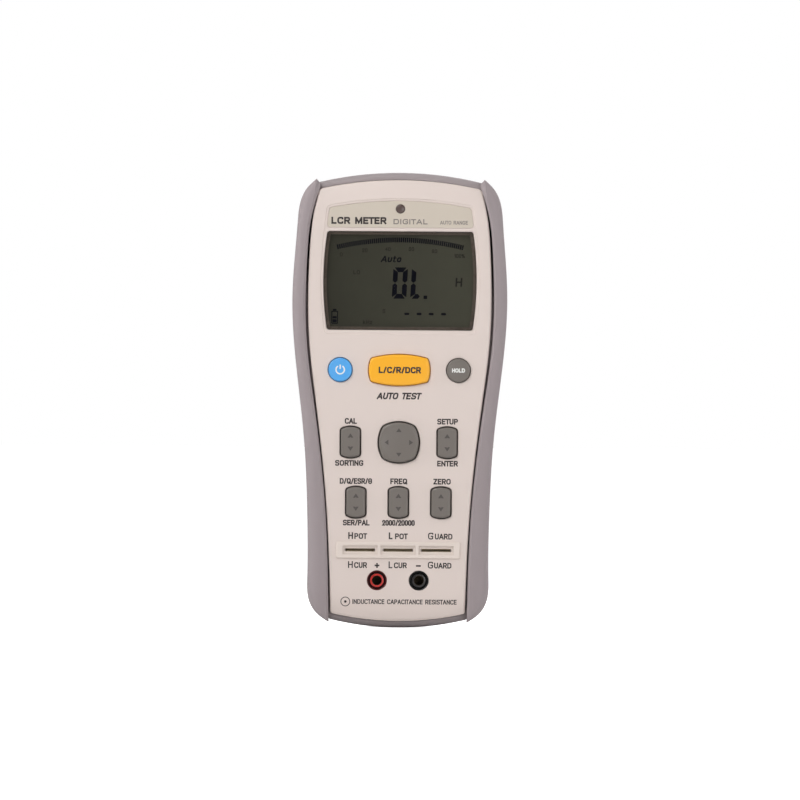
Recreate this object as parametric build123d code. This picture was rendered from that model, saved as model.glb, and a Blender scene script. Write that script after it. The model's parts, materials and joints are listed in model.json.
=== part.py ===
"""Handheld LCR meter: a two-shell case with soft side grips, nine sprung keys, a segment display,
lead sockets, a battery bay and a folding stand, each piece a solid of its own.

Millimetres. +Z runs up the meter to the display end, -Y points out of the face, +X is the right-hand
side of the face. The origin lies under the middle of the meter, at the height of its lowest point.
"""

import os
from math import sqrt

from build123d import *

# ---------------------------------------------------------------- driving dimensions
HEIGHT = 207.0
FACE_Y = -22.0  # flat of the front cover
BACK_Y = 22.6  # flat of the rear case
WALL = 2.2
SPLIT_Y = -6.0  # rear edge of the front cover
RIM_Y = -17.6  # front edge of the rear case
FOOT_Y = 24.0  # what the meter lies on

TOP_ARC_R = 158.0  # round of the display end
BOTTOM_ARC_R = 128.0  # round of the socket end
TOP_BAND = 3.4  # rear case showing past the cover at the display end
BOTTOM_BAND = 3.1
COVER_GAP = 0.2  # cover to rear case rim

COVER_ROLL_R = 35.0  # the face rolls back towards both ends
COVER_ROLL_RUN = 10.0

# half outlines as (x, z), from the display end down to the socket end
COVER_SIDE = [(36.4, 199.4), (40.0, 187.4), (41.75, 150.0), (38.0, 103.3), (33.0, 58.0), (31.3, 28.0), (30.6, 6.6)]
GROOVE_SIDE = [(37.1, 200.4), (40.9, 186.0), (43.05, 150.0), (39.1, 103.3), (33.6, 58.0), (32.0, 28.0), (31.5, 4.0)]
CASE_SIDE = [(36.9, 202.6), (41.4, 195.0), (44.2, 183.0), (45.9, 150.0), (40.4, 88.0), (38.2, 50.0), (37.8, 17.0),
             (34.6, 8.0), (30.9, 3.7)]
GRIP_TOP = [(38.2, 204.0), (42.9, 199.5), (45.6, 194.0)]  # an arc through three points
GRIP_FLANK = [(45.6, 194.0), (48.9, 148.0), (43.4, 88.0), (41.35, 48.0), (41.3, 16.0)]
GRIP_BOTTOM = [(41.3, 16.0), (38.7, 8.3), (31.4, 2.4)]
GRIP_FRONT_Y = -22.8
GRIP_BACK_Y = 23.2
GRIP_LIP = 4.6  # how far the grip folds over the back of the case

# display end
WINDOW_Z = 157.8
WINDOW_HALF_H = 22.4
WINDOW_HALF_W = 33.1  # at the corners
WINDOW_BOW = 1.7  # the sides bow out
BEZEL_DEPTH = 0.35
LABEL_T = 0.3
LENS_FRONT_Y = -21.5
LENS_BACK_Y = -20.2
MASK_T = 0.1
LEDGE_BACK_Y = -18.9
LCD_W, LCD_H = 71.0, 47.6
LCD_FRONT_Y = -18.8
LCD_BACK_Y = -16.6
LAMP_Z, LAMP_R = 190.5, 2.1

# board stack
BOARD_FRONT_Y = -15.8
BOARD_T = 1.6
MAT_FRONT_Y = -17.0
NUB_FRONT_Y = -17.5

# keys, at (x, z)
KEY_GAP = 0.3
KEY_TRAVEL = 1.0
POWER_AT, HOLD_AT, AUTO_AT = (-26.9, 117.2), (26.9, 117.2), (0.0, 117.2)
ROUND_KEY_R = 5.35
ROCKER_GAP = 0.6
ROCKERS = {
    "cal_rocker": (-22.0, 84.3),
    "setup_rocker": (22.0, 84.3),
    "loss_rocker": (-19.35, 57.0),
    "freq_rocker": (0.0, 57.0),
    "zero_rocker": (19.35, 57.0),
}
NAV_AT = (0.0, 84.3)
NAV_PIVOT_R = 1.6
NAV_PIVOT_Y = -16.35
FLANGE_FRONT_Y = -18.8  # of keys that rock
FLANGE_T = 0.8
SLIDE_FLANGE_FRONT_Y = -19.7  # of keys that press straight in
SLIDE_FLANGE_T = 1.1

# sockets
SOCKET_Z = 35.3
SOCKET_W, SOCKET_H = 56.4, 7.4
SOCKET_FRONT_Y = -22.7
SLOT_PITCH = 17.3
SLOT_W, SLOT_H = 13.8, 1.4
JACK_Z = 21.5
JACK_X = 9.525  # half of the 19.05 mm plug spacing
JACK_R = 4.5
JACK_RIM_Y = FACE_Y + 0.9
JACK_BACK_Y = -4.6
SLEEVE_BORE_R = 2.0
SLEEVE_R = 2.2

# back
BATTERY_W, BATTERY_D, BATTERY_H = 26.5, 17.5, 46.4
BATTERY_Z = 10.6
BAY_FRONT_Y = 1.3
BAY_TOP_Z = 65.4
DOOR_W, DOOR_T = 34.0, 2.0
DOOR_LOW_Z, DOOR_HIGH_Z = 6.6, 73.6
DOOR_SCREW_Z = 69.6
STAND_W, STAND_T = 44.0, 3.2
STAND_LOW_Z, STAND_HINGE_Z = 80.6, 163.0
STAND_HINGE_Y = 19.9
STAND_PIN_R = 1.4
STAND_PIN_END_X = 24.2
TRAY_FLOOR_Y = 16.4
CASE_SCREWS = [(-31.0, 188.0), (31.0, 188.0), (-25.0, 14.2), (25.0, 14.2)]
BOARD_SCREWS = [(-33.5, 126.0), (33.5, 126.0), (-26.5, 44.6), (26.5, 44.6)]
FEET = [(-30.5, 174.0), (30.5, 174.0), (-25.5, 27.5), (25.5, 27.5)]
FOOT_R = 4.0


# ---------------------------------------------------------------- small helpers
def prism(sketch, front, back):
    """The sketch, drawn in x and z, made solid from y = front to y = back."""
    return extrude(Plane.XZ.offset(-back) * sketch, back - front)


def plate(width, height, x, z, front, back, corner=0.0):
    """An upright plate centred on (x, z)."""
    flat = RectangleRounded(width, height, corner) if corner else Rectangle(width, height)
    return prism(Pos(x, z) * flat, front, back)


def rod(x, z, radius, front, back):
    return prism(Pos(x, z) * Circle(radius), front, back)


def block(low, high):
    """A box between two opposite corners."""
    size = [b - a for a, b in zip(low, high)]
    middle = [(a + b) / 2 for a, b in zip(low, high)]
    return Pos(*middle) * Box(*size)


def mirrored(points):
    return [(-x, z) for x, z in points]


def rounded_quad(corner_x, corner_z, bow_x, bow_z, corner_r):
    """A four-sided outline whose sides bow out by bow_x and bow_z."""
    corners = [(corner_x, corner_z), (-corner_x, corner_z), (-corner_x, -corner_z), (corner_x, -corner_z)]
    tops = [(0, corner_z + bow_z), (-corner_x - bow_x, 0), (0, -corner_z - bow_z), (corner_x + bow_x, 0)]
    sides = []
    for n in range(4):
        start, end = corners[n], corners[(n + 1) % 4]
        bowed = (bow_z, bow_x)[n % 2] > 0
        sides.append(ThreePointArc(start, tops[n], end) if bowed else Line(start, end))
    flat = make_face(sides)
    return fillet(flat.vertices(), corner_r) if corner_r else flat


def ended_outline(side, top_z, bottom_z, grow):
    """A symmetric outline, grown on all sides: a spline down each side, an arc over the top and one below."""
    last = len(side) - 1
    side = [(x + grow, z + grow * ((n == 0) - (n == last))) for n, (x, z) in enumerate(side)]
    right = Spline(*side)
    left = Spline(*mirrored(side))
    top = ThreePointArc(mirrored(side)[0], (0, top_z + grow), side[0])
    bottom = ThreePointArc(mirrored(side)[-1], (0, bottom_z - grow), side[-1])
    return make_face([right, left, top, bottom])


def cover_outline(grow=0.0):
    flat = ended_outline(COVER_SIDE, HEIGHT - TOP_BAND, BOTTOM_BAND, grow)
    flat = fillet(flat.vertices().sort_by(Axis.Y)[-2:], max(3.0 + grow, 0.6))
    return fillet(flat.vertices().sort_by(Axis.Y)[:2], max(1.5 + grow, 0.6))


def case_outline(grow=0.0):
    return ended_outline(CASE_SIDE, HEIGHT, 0.0, grow)


def ring_cut(radius, centre_z, run):
    """A disc about a Y axis whose face rolls back over its outer run, for the rounded ends of the cover."""
    inner = radius - run
    outer = radius + 1.0
    drop = COVER_ROLL_R - sqrt(COVER_ROLL_R**2 - (outer - inner) ** 2)
    middle = (inner + outer) / 2
    middle_drop = COVER_ROLL_R - sqrt(COVER_ROLL_R**2 - (middle - inner) ** 2)
    profile = make_face([
        Line((0, FACE_Y), (inner, FACE_Y)),
        ThreePointArc((inner, FACE_Y), (middle, FACE_Y + middle_drop), (outer, FACE_Y + drop)),
        Line((outer, FACE_Y + drop), (outer, SPLIT_Y)),
        Line((outer, SPLIT_Y), (0, SPLIT_Y)),
        Line((0, SPLIT_Y), (0, FACE_Y)),
    ])
    return Pos(0, 0, centre_z) * revolve(profile, Axis.Y)


# ---------------------------------------------------------------- outlines on the face
def window_outline(grow=0.0):
    corner = max(1.2 + grow, 0.4)
    return Pos(0, WINDOW_Z) * rounded_quad(WINDOW_HALF_W + grow, WINDOW_HALF_H + grow, WINDOW_BOW, 0, corner)


def label_outline(grow=0.0):
    """The name plate over the window: a flat foot, leaning sides and an arched top."""
    low_z, side_z, top_z = 182.0 - grow, 190.9 + grow, 194.1 + grow
    low_x, high_x = 33.4 + grow, 32.2 + grow
    flat = make_face([
        Line((-low_x, low_z), (low_x, low_z)),
        Line((low_x, low_z), (high_x, side_z)),
        ThreePointArc((high_x, side_z), (0, top_z), (-high_x, side_z)),
        Line((-high_x, side_z), (-low_x, low_z)),
    ])
    return fillet(flat.vertices(), 1.4 + grow)


def bezel_outline():
    """The shallow step that frames the name plate and the window together."""
    low_z, side_z, top_z = 133.5, 191.8, 195.1
    low_x, mid_x, high_x = 34.2, 36.0, 33.3
    flat = make_face([
        Line((-low_x, low_z), (low_x, low_z)),
        Spline((low_x, low_z), (mid_x, WINDOW_Z), (high_x, side_z)),
        ThreePointArc((high_x, side_z), (0, top_z), (-high_x, side_z)),
        Spline((-high_x, side_z), (-mid_x, WINDOW_Z), (-low_x, low_z)),
    ])
    return fillet(flat.vertices(), 2.2)


def auto_outline(grow=0.0):
    return rounded_quad(12.8 + grow, 5.25 + grow, 1.1, 1.8, 1.0 + grow)


def rocker_outline(grow=0.0):
    return rounded_quad(4.3 + grow, 5.3 + grow, 0, 1.6, 1.0 + grow)


def nav_outline(grow=0.0):
    return rounded_quad(7.1 + grow, 7.1 + grow, 1.95, 1.95, 1.6 + grow)


# ---------------------------------------------------------------- case
def front_cover():
    """White front shell: rolled ends, display opening, key holes, screw bosses."""
    body = prism(cover_outline(), FACE_Y, SPLIT_Y)
    body &= ring_cut(TOP_ARC_R - TOP_BAND, HEIGHT - TOP_ARC_R, COVER_ROLL_RUN)
    body &= ring_cut(BOTTOM_ARC_R - BOTTOM_BAND, BOTTOM_ARC_R, COVER_ROLL_RUN)
    walls = body.faces().filter_by(lambda f: abs(f.normal_at(f.center()).Y) < 0.01)
    rim = ShapeList([min(w.edges(), key=lambda e: e.center().Y) for w in walls])
    body = fillet(rim, 0.9)
    body -= prism(cover_outline(-WALL), FACE_Y + WALL, SPLIT_Y + 1)

    # display bay: shallow step, lens seat, ledge behind the lens
    body += prism(window_outline(1.6), FACE_Y + WALL - 0.2, LEDGE_BACK_Y)
    body -= prism(bezel_outline(), FACE_Y - 1, FACE_Y + BEZEL_DEPTH)
    body -= prism(label_outline(0.05), FACE_Y - 1, FACE_Y + BEZEL_DEPTH + LABEL_T)
    body -= prism(window_outline(0.1), FACE_Y - 1, LENS_BACK_Y + MASK_T)
    body -= prism(window_outline(-1.7), FACE_Y, LEDGE_BACK_Y + 1)
    body -= rod(0, LAMP_Z, LAMP_R + 0.05, FACE_Y - 1, FACE_Y + WALL + 1)

    # key holes and socket holes
    for at in (POWER_AT, HOLD_AT):
        body -= rod(*at, ROUND_KEY_R + KEY_GAP, FACE_Y - 1, FACE_Y + WALL + 1)
    body -= prism(Pos(*AUTO_AT) * auto_outline(KEY_GAP), FACE_Y - 1, FACE_Y + WALL + 1)
    for at in ROCKERS.values():
        body -= prism(Pos(*at) * rocker_outline(ROCKER_GAP), FACE_Y - 1, FACE_Y + WALL + 1)
    body -= prism(Pos(*NAV_AT) * nav_outline(ROCKER_GAP), FACE_Y - 1, FACE_Y + WALL + 1)
    body -= plate(SOCKET_W - 3.2, SOCKET_H - 2.2, 0, SOCKET_Z, FACE_Y - 1, FACE_Y + WALL + 1)
    for x in (-JACK_X, JACK_X):
        body -= rod(x, JACK_Z, JACK_R + 0.05, FACE_Y - 1, FACE_Y + WALL + 1)

    # bosses for the case screws and the board screws
    inside_y = FACE_Y + WALL - 0.2
    for x, z in CASE_SCREWS:
        body += rod(x, z, 3.2, inside_y, SPLIT_Y)
        body -= rod(x, z, 1.45, SPLIT_Y - 10, SPLIT_Y + 1)
    for x, z in BOARD_SCREWS:
        body += rod(x, z, 2.6, inside_y, BOARD_FRONT_Y)
        body -= rod(x, z, 1.05, BOARD_FRONT_Y - 3, BOARD_FRONT_Y + 1)
    return body


def rear_case():
    """Grey rear shell: rim round the cover, battery bay, stand recess, screw towers."""
    body = prism(case_outline(), RIM_Y, BACK_Y)
    ends = body.edges().filter_by(GeomType.CIRCLE).filter_by(lambda e: e.radius > 60)
    body = fillet(ends, 3.0)
    body -= prism(cover_outline(COVER_GAP), RIM_Y - 1, SPLIT_Y + COVER_GAP)
    inside_y = BACK_Y - WALL
    body -= prism(case_outline(-WALL), SPLIT_Y, inside_y)

    # battery bay: a box with its mouth at the back
    bay_w = BATTERY_W + 1.0
    wall = 1.6
    door_h = DOOR_HIGH_Z - DOOR_LOW_Z
    bay_h = BAY_TOP_Z - BATTERY_Z + 1.0
    bay_mid = (BAY_TOP_Z + BATTERY_Z - 1.0) / 2
    body += plate(bay_w + 2 * wall, bay_h + 2 * wall, 0, bay_mid, BAY_FRONT_Y, inside_y + 0.5)
    body += plate(DOOR_W + 4, door_h + 3, 0, (DOOR_HIGH_Z + DOOR_LOW_Z) / 2, inside_y - 1.6, inside_y + 0.5)
    body -= plate(bay_w, bay_h, 0, bay_mid, BAY_FRONT_Y + wall, BACK_Y + 1)
    body -= plate(DOOR_W + 0.4, door_h + 0.4, 0, (DOOR_HIGH_Z + DOOR_LOW_Z) / 2, BACK_Y - DOOR_T, BACK_Y + 1, 2.2)
    body += rod(0, DOOR_SCREW_Z, 3.4, BAY_FRONT_Y + 6, BACK_Y - DOOR_T)
    body -= rod(0, DOOR_SCREW_Z, 1.6, BACK_Y - DOOR_T - 8, BACK_Y)

    # stand recess, with a socket each side for the stand's pins
    recess_w = STAND_W + 0.8
    low, high = STAND_LOW_Z - 1.0, STAND_HINGE_Z + STAND_T / 2 + 0.6
    mid, height = (low + high) / 2, high - low
    body += plate(recess_w + 6.4, height + 4, 0, mid, TRAY_FLOOR_Y, inside_y + 0.5)
    body -= plate(recess_w, height, 0, mid, STAND_HINGE_Y - STAND_T / 2 - 0.2, BACK_Y + 1, 1.2)
    body -= plate(14, 8, 0, low, STAND_HINGE_Y - STAND_T / 2 + 0.6, BACK_Y + 1, 3)
    pin_hole = Cylinder(STAND_PIN_R + 0.06, 2 * STAND_PIN_END_X + 0.6, rotation=(0, 90, 0))
    body -= Pos(0, STAND_HINGE_Y, STAND_HINGE_Z) * pin_hole

    # screw towers and the flats the feet stick to
    for x, z in CASE_SCREWS:
        body += rod(x, z, 4.4, SPLIT_Y + COVER_GAP, inside_y + 0.5)
        body -= rod(x, z, 1.7, SPLIT_Y - 1, BACK_Y + 1)
        body -= rod(x, z, 3.1, BACK_Y - 8, BACK_Y + 1)
    for x, z in FEET:
        body -= rod(x, z, FOOT_R + 0.1, BACK_Y - 0.6, BACK_Y + 1)
    body -= plate(46.2, 12.2, 0, 183.0, BACK_Y - 0.3, BACK_Y + 1, 1.0)
    return body


def grip_band(inner_side, front, back):
    """The stretch of the right-hand grip between its outer edge and an inner line, tip to tip."""
    top = ThreePointArc(*GRIP_TOP)
    bottom = ThreePointArc(*GRIP_BOTTOM)
    flank = Spline(*GRIP_FLANK, tangents=[top % 1, bottom % 0])
    inner = Spline(*inner_side)
    caps = [Line(inner_side[0], GRIP_TOP[0]), Line(GRIP_BOTTOM[-1], inner_side[-1])]
    return prism(make_face([top, flank, bottom, inner, *caps]), front, back)


def side_grip():
    """Right-hand soft grip: a channel that folds over the front rim and the back of the case."""
    gap = 0.1
    clear_case = [(x + gap, z) for x, z in CASE_SIDE]
    lip_line = [(x - GRIP_LIP, z) for x, z in CASE_SIDE[1:-1]]
    lip_line = [(CASE_SIDE[0][0] - 0.4, CASE_SIDE[0][1] - 0.4), *lip_line, (CASE_SIDE[-1][0] - 0.4, CASE_SIDE[-1][1] + 0.4)]
    body = grip_band(clear_case, RIM_Y - 0.2, BACK_Y + 0.2)
    body += grip_band(GROOVE_SIDE, GRIP_FRONT_Y, RIM_Y - 0.1)
    body += grip_band(lip_line, BACK_Y + 0.1, GRIP_BACK_Y)
    return body


# ---------------------------------------------------------------- display
def display_lens():
    return prism(window_outline(0.0), LENS_FRONT_Y, LENS_BACK_Y)


def window_mask():
    """Dark printed border behind the lens."""
    return prism(window_outline(0.0) - window_outline(-1.45), LENS_BACK_Y, LENS_BACK_Y + MASK_T)


def name_plate():
    flat = label_outline() - Pos(0, LAMP_Z) * Circle(LAMP_R + 0.05)
    return prism(flat, FACE_Y + BEZEL_DEPTH, FACE_Y + BEZEL_DEPTH + LABEL_T)


def lamp_lens():
    """Smoked lens of the status lamp, with a shoulder behind the cover."""
    return rod(0, LAMP_Z, LAMP_R, FACE_Y + 0.2, FACE_Y + WALL + 0.1) + rod(
        0, LAMP_Z, LAMP_R + 0.8, FACE_Y + WALL + 0.1, FACE_Y + WALL + 0.9)


def status_lamp():
    """The LED under its lens, on two leads that reach the board."""
    body = rod(0, LAMP_Z, 1.5, FACE_Y + WALL + 1.0, BOARD_FRONT_Y - 1.0)
    for x in (-0.6, 0.6):
        body += rod(x, LAMP_Z, 0.25, BOARD_FRONT_Y - 1.0, BOARD_FRONT_Y)
    return body


def lcd_glass():
    return plate(LCD_W, LCD_H, 0, WINDOW_Z, LCD_FRONT_Y, LCD_BACK_Y)


def lcd_frame():
    """Frame that clips the glass to the board."""
    outer = plate(LCD_W + 4.4, LCD_H + 4.0, 0, WINDOW_Z, LCD_FRONT_Y + 0.1, BOARD_FRONT_Y, 1.0)
    return outer - plate(LCD_W + 0.3, LCD_H + 0.3, 0, WINDOW_Z, LCD_FRONT_Y - 1, BOARD_FRONT_Y + 1)


def lcd_reflector():
    return plate(LCD_W - 4, LCD_H - 8, 0, WINDOW_Z, LCD_BACK_Y, LCD_BACK_Y + 0.6)


def contact_strips():
    """Conductive rubber strips between the glass and the board, above and below."""
    z = LCD_H / 2 - 1.8
    return [plate(LCD_W - 6, 2.2, 0, WINDOW_Z + s * z, LCD_BACK_Y, BOARD_FRONT_Y) for s in (-1, 1)]


# ---------------------------------------------------------------- keys
def press_key(outline, flange, front, dish_r):
    """A key that presses straight in: cap, rounded edge, finger dish and the flange that keeps it in."""
    back = SLIDE_FLANGE_FRONT_Y + SLIDE_FLANGE_T
    cap = prism(outline, front, back)
    cap = fillet(cap.faces().sort_by(Axis.Y)[0].edges(), 0.6)
    if dish_r:
        cap -= Pos(0, front - dish_r + 0.35, 0) * Sphere(dish_r)
    return cap + prism(flange, SLIDE_FLANGE_FRONT_Y, back)


def round_key(at):
    key = press_key(Circle(ROUND_KEY_R), Circle(ROUND_KEY_R + 1.2), FACE_Y - 1.4, 28.0)
    return Pos(at[0], 0, at[1]) * key


def auto_key():
    key = press_key(auto_outline(), auto_outline(1.2), FACE_Y - 1.8, 0)
    return Pos(AUTO_AT[0], 0, AUTO_AT[1]) * key


def arrow(x, z, turn):
    """A sunk arrowhead on a grey key, pointing up before it is turned."""
    flat = Polygon((-1.05, -0.75), (1.05, -0.75), (0, 1.0), align=None)
    return Pos(x, z) * Rot(0, 0, turn) * flat


def rocker_key(at):
    """A key that rocks about its middle, with an arrow at each end."""
    front = FACE_Y - 1.6
    cap = prism(rocker_outline(), front, FLANGE_FRONT_Y + FLANGE_T)
    cap = fillet(cap.faces().sort_by(Axis.Y)[0].edges(), 0.7)
    for end, turn in ((1, 0), (-1, 180)):
        cap -= prism(arrow(0, end * 3.0, turn), front - 1, front + 0.25)
    cap += prism(rocker_outline(0.9), FLANGE_FRONT_Y, FLANGE_FRONT_Y + FLANGE_T)
    return Pos(at[0], 0, at[1]) * cap


def nav_pad():
    """Four-way pad, hollowed in the middle, with an arrow on each side."""
    front = FACE_Y - 2.0
    cap = prism(nav_outline(), front, FLANGE_FRONT_Y + FLANGE_T)
    cap = fillet(cap.faces().sort_by(Axis.Y)[0].edges(), 0.8)
    cap -= Pos(0, front - 40.0 + 0.5, 0) * Sphere(40.0)
    for turn in (0, 90, 180, 270):
        cap -= prism(Rot(0, 0, turn) * arrow(0, 5.2, 0), front - 1, front + 0.55)
    cap += prism(Circle(9.6), FLANGE_FRONT_Y, FLANGE_FRONT_Y + FLANGE_T)
    return Pos(NAV_AT[0], 0, NAV_AT[1]) * cap


def nav_pivot():
    """Ball-ended stub that the pad rocks on."""
    stub = Pos(0, NAV_PIVOT_Y, 0) * Sphere(NAV_PIVOT_R)
    stub &= block((-3, NAV_PIVOT_Y - 3, -3), (3, NAV_PIVOT_Y + 0.3, 3))
    return Pos(NAV_AT[0], 0, NAV_AT[1]) * stub


def keypad_mat():
    """Silicone mat on the board, with a raised nub at each contact."""
    field = cover_outline(-4.2) & Pos(0, 84.8) * Rectangle(90, 74.0)
    body = prism(field, MAT_FRONT_Y, BOARD_FRONT_Y)
    spots = [POWER_AT, HOLD_AT, (-6.0, AUTO_AT[1]), (6.0, AUTO_AT[1])]
    for x, z in ROCKERS.values():
        spots += [(x, z - 4.6), (x, z + 4.6)]
    for x, z in spots:
        body += rod(x, z, 1.9, NUB_FRONT_Y, MAT_FRONT_Y)
    body -= rod(*NAV_AT, NAV_PIVOT_R + 0.6, MAT_FRONT_Y - 1, BOARD_FRONT_Y + 1)
    return body


# ---------------------------------------------------------------- sockets
def socket_block():
    """Stepped insert with three lead slots."""
    body = plate(SOCKET_W, SOCKET_H, 0, SOCKET_Z, SOCKET_FRONT_Y, FACE_Y, 0.5)
    body = fillet(body.faces().sort_by(Axis.Y)[0].edges(), 0.3)
    body += plate(SOCKET_W - 3.4, SOCKET_H - 2.4, 0, SOCKET_Z, FACE_Y, BOARD_FRONT_Y - 0.1)
    for n in (-1, 0, 1):
        x = n * SLOT_PITCH
        body -= plate(SLOT_W + 1.9, 3.9, x, SOCKET_Z, SOCKET_FRONT_Y - 1, SOCKET_FRONT_Y + 0.9)
        body -= plate(SLOT_W, SLOT_H, x, SOCKET_Z, SOCKET_FRONT_Y - 1, BOARD_FRONT_Y + 1)
        body -= plate(SLOT_W - 1.0, 3.4, x, SOCKET_Z, FACE_Y + 1.6, BOARD_FRONT_Y + 1)
    return body


def slot_contacts():
    """Two sprung leaves behind each slot, one for the current lead and one for the sense lead."""
    leaves = []
    for n in (-1, 0, 1):
        for side in (-1, 1):
            z = SOCKET_Z + side * 1.2
            leaves.append(plate(SLOT_W - 1.6, 0.3, n * SLOT_PITCH, z, FACE_Y + 1.8, BOARD_FRONT_Y))
    return leaves


def jack_body(x):
    """Shrouded 4 mm jack: outer tube, inner collar and a shared floor."""
    floor_y = JACK_BACK_Y - 2.0
    body = rod(x, JACK_Z, JACK_R, JACK_RIM_Y, JACK_BACK_Y)
    body -= rod(x, JACK_Z, JACK_R - 0.5, FACE_Y - 1, floor_y)
    body += rod(x, JACK_Z, 3.1, JACK_RIM_Y + 0.4, floor_y)
    body -= rod(x, JACK_Z, SLEEVE_R + 0.05, FACE_Y, JACK_BACK_Y + 1)
    return body


def jack_sleeve(x):
    """Brass sleeve that takes the plug, closed at the back, with a solder tail."""
    body = rod(x, JACK_Z, SLEEVE_R, FACE_Y + 2.0, JACK_BACK_Y + 1.2)
    body -= rod(x, JACK_Z, SLEEVE_BORE_R, FACE_Y, JACK_BACK_Y)
    return body + rod(x, JACK_Z, 0.8, JACK_BACK_Y + 1.2, JACK_BACK_Y + 3.6)


# ---------------------------------------------------------------- board
def main_board():
    body = prism(cover_outline(-WALL - 0.8), BOARD_FRONT_Y, BOARD_FRONT_Y + BOARD_T)
    for x in (-JACK_X, JACK_X):
        body -= rod(x, JACK_Z, JACK_R + 0.3, BOARD_FRONT_Y - 1, BOARD_FRONT_Y + BOARD_T + 1)
    for x, z in CASE_SCREWS:
        body -= rod(x, z, 3.5, BOARD_FRONT_Y - 1, BOARD_FRONT_Y + BOARD_T + 1)
    for x, z in BOARD_SCREWS:
        body -= rod(x, z, 1.2, BOARD_FRONT_Y - 1, BOARD_FRONT_Y + BOARD_T + 1)
    return body


def chip(width, height, thick, x, z):
    """A chip with two rows of legs, on the back of the board."""
    y = BOARD_FRONT_Y + BOARD_T
    body = plate(width, height, x, z, y + 0.1, y + 0.1 + thick)
    count = int(height / 1.27) - 1
    for side in (-1, 1):
        for n in range(count):
            leg_z = z + (n - (count - 1) / 2) * 1.27
            body += plate(1.2, 0.4, x + side * (width / 2 + 0.4), leg_z, y, y + 0.5)
    return body


def buzzer():
    y = BOARD_FRONT_Y + BOARD_T
    return rod(-24, 108, 6.0, y, y + 5.5) - rod(-24, 108, 1.1, y + 3, y + 7)


def crystal():
    y = BOARD_FRONT_Y + BOARD_T
    return plate(11.0, 4.6, 17, 121, y, y + 3.5, 2.2)


def capacitors():
    y = BOARD_FRONT_Y + BOARD_T
    return [rod(x, 62, 3.1, y, y + 7.5) for x in (19.0, 26.5)]


def fuse():
    """Glass fuse tube with its two end caps, lying across the board."""
    y = BOARD_FRONT_Y + BOARD_T + 3.4
    return [Pos(0, y, 52) * Cylinder(2.6, 20, rotation=(0, 90, 0))]


def fuse_clips():
    y = BOARD_FRONT_Y + BOARD_T
    clips = []
    for x in (-8.5, 8.5):
        clip = block((x - 1.5, y, 48.2), (x + 1.5, y + 5.6, 55.8))
        clip -= Pos(x, y + 3.4, 52) * Cylinder(2.65, 6, rotation=(0, 90, 0))
        clip -= block((x - 2, y + 4.6, 50.2), (x + 2, y + 6, 53.8))
        clips.append(clip)
    return clips


# ---------------------------------------------------------------- back
def battery():
    """Nine-volt block with its two snap studs on top."""
    front = BACK_Y - DOOR_T - 0.2 - BATTERY_D
    middle = front + BATTERY_D / 2
    body = plate(BATTERY_W, BATTERY_H, 0, BATTERY_Z + BATTERY_H / 2, front, front + BATTERY_D, 0)
    body = fillet(body.edges().filter_by(Axis.Z), 2.0)
    top = BATTERY_Z + BATTERY_H
    body += Pos(-6.3, middle, top + 1.0) * Cylinder(2.8, 2.0)
    body += Pos(6.3, middle, top + 1.0) * Cylinder(3.8, 2.0)
    return body


def battery_snap():
    """Snap-on terminal plate over the battery's studs."""
    middle = BACK_Y - DOOR_T - 0.2 - BATTERY_D / 2
    low = BATTERY_Z + BATTERY_H + 0.1
    body = block((-12.6, middle - 6, low), (12.6, middle + 6, low + 4.0))
    body = fillet(body.edges().filter_by(Axis.Z), 4.0)
    for x, radius in ((-6.3, 2.9), (6.3, 3.9)):
        body -= Pos(x, middle, low + 1.0) * Cylinder(radius, 2.2)
    return body


def battery_leads():
    """Two short leads from the snap, out over the bay wall and down to the board."""
    start_y = BACK_Y - DOOR_T - 0.2 - BATTERY_D / 2
    top = BATTERY_Z + BATTERY_H + 4.1
    leads = []
    for x in (-9.0, 9.0):
        points = [(x, start_y, top), (x, start_y, top + 1.6), (x, BAY_FRONT_Y + 2.6, top + 1.6)]
        path = FilletPolyline(*points, radius=1.2)
        leads.append(sweep(Plane(origin=points[0], z_dir=(0, 0, 1)) * Circle(0.5), path=path))
    return leads


def battery_door():
    """Door over the battery bay, held by two tongues and one screw."""
    mid = (DOOR_HIGH_Z + DOOR_LOW_Z) / 2
    body = plate(DOOR_W, DOOR_HIGH_Z - DOOR_LOW_Z, 0, mid, BACK_Y - DOOR_T + 0.05, BACK_Y, 2.0)
    for n in range(5):
        body -= plate(20, 1.2, 0, DOOR_LOW_Z + 10 + 3.0 * n, BACK_Y - 0.5, BACK_Y + 1, 0.5)
    body -= rod(0, DOOR_SCREW_Z, 1.6, BACK_Y - DOOR_T - 1, BACK_Y + 1)
    body -= rod(0, DOOR_SCREW_Z, 2.7, BACK_Y - 1.1, BACK_Y + 1)
    return body


def screw(x, z, head_y, head_r, head_t, shank_r, length):
    """A cross-head screw driven from the back: its head starts at head_y and its shank runs forwards."""
    body = rod(x, z, head_r, head_y - head_t, head_y)
    body = fillet(body.faces().sort_by(Axis.Y)[-1].edges(), min(0.4, head_t * 0.4))
    for across, tall in ((head_r, 0.5), (0.5, head_r)):
        body -= plate(across, tall, x, z, head_y - head_t * 0.6, head_y + 1)
    return body + rod(x, z, shank_r, head_y - head_t - length, head_y - head_t)


def door_screw():
    return screw(0, DOOR_SCREW_Z, BACK_Y - 0.1, 2.5, 0.95, 1.3, 7.0)


def case_screws():
    head_y = BACK_Y - 6.0
    return [screw(x, z, head_y, 2.8, 2.0, 1.4, head_y - 2.0 - (SPLIT_Y - 9.0)) for x, z in CASE_SCREWS]


def board_screws():
    head_y = BOARD_FRONT_Y + BOARD_T + 1.3
    return [screw(x, z, head_y, 2.1, 1.3, 1.0, BOARD_T + 2.6) for x, z in BOARD_SCREWS]


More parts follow.
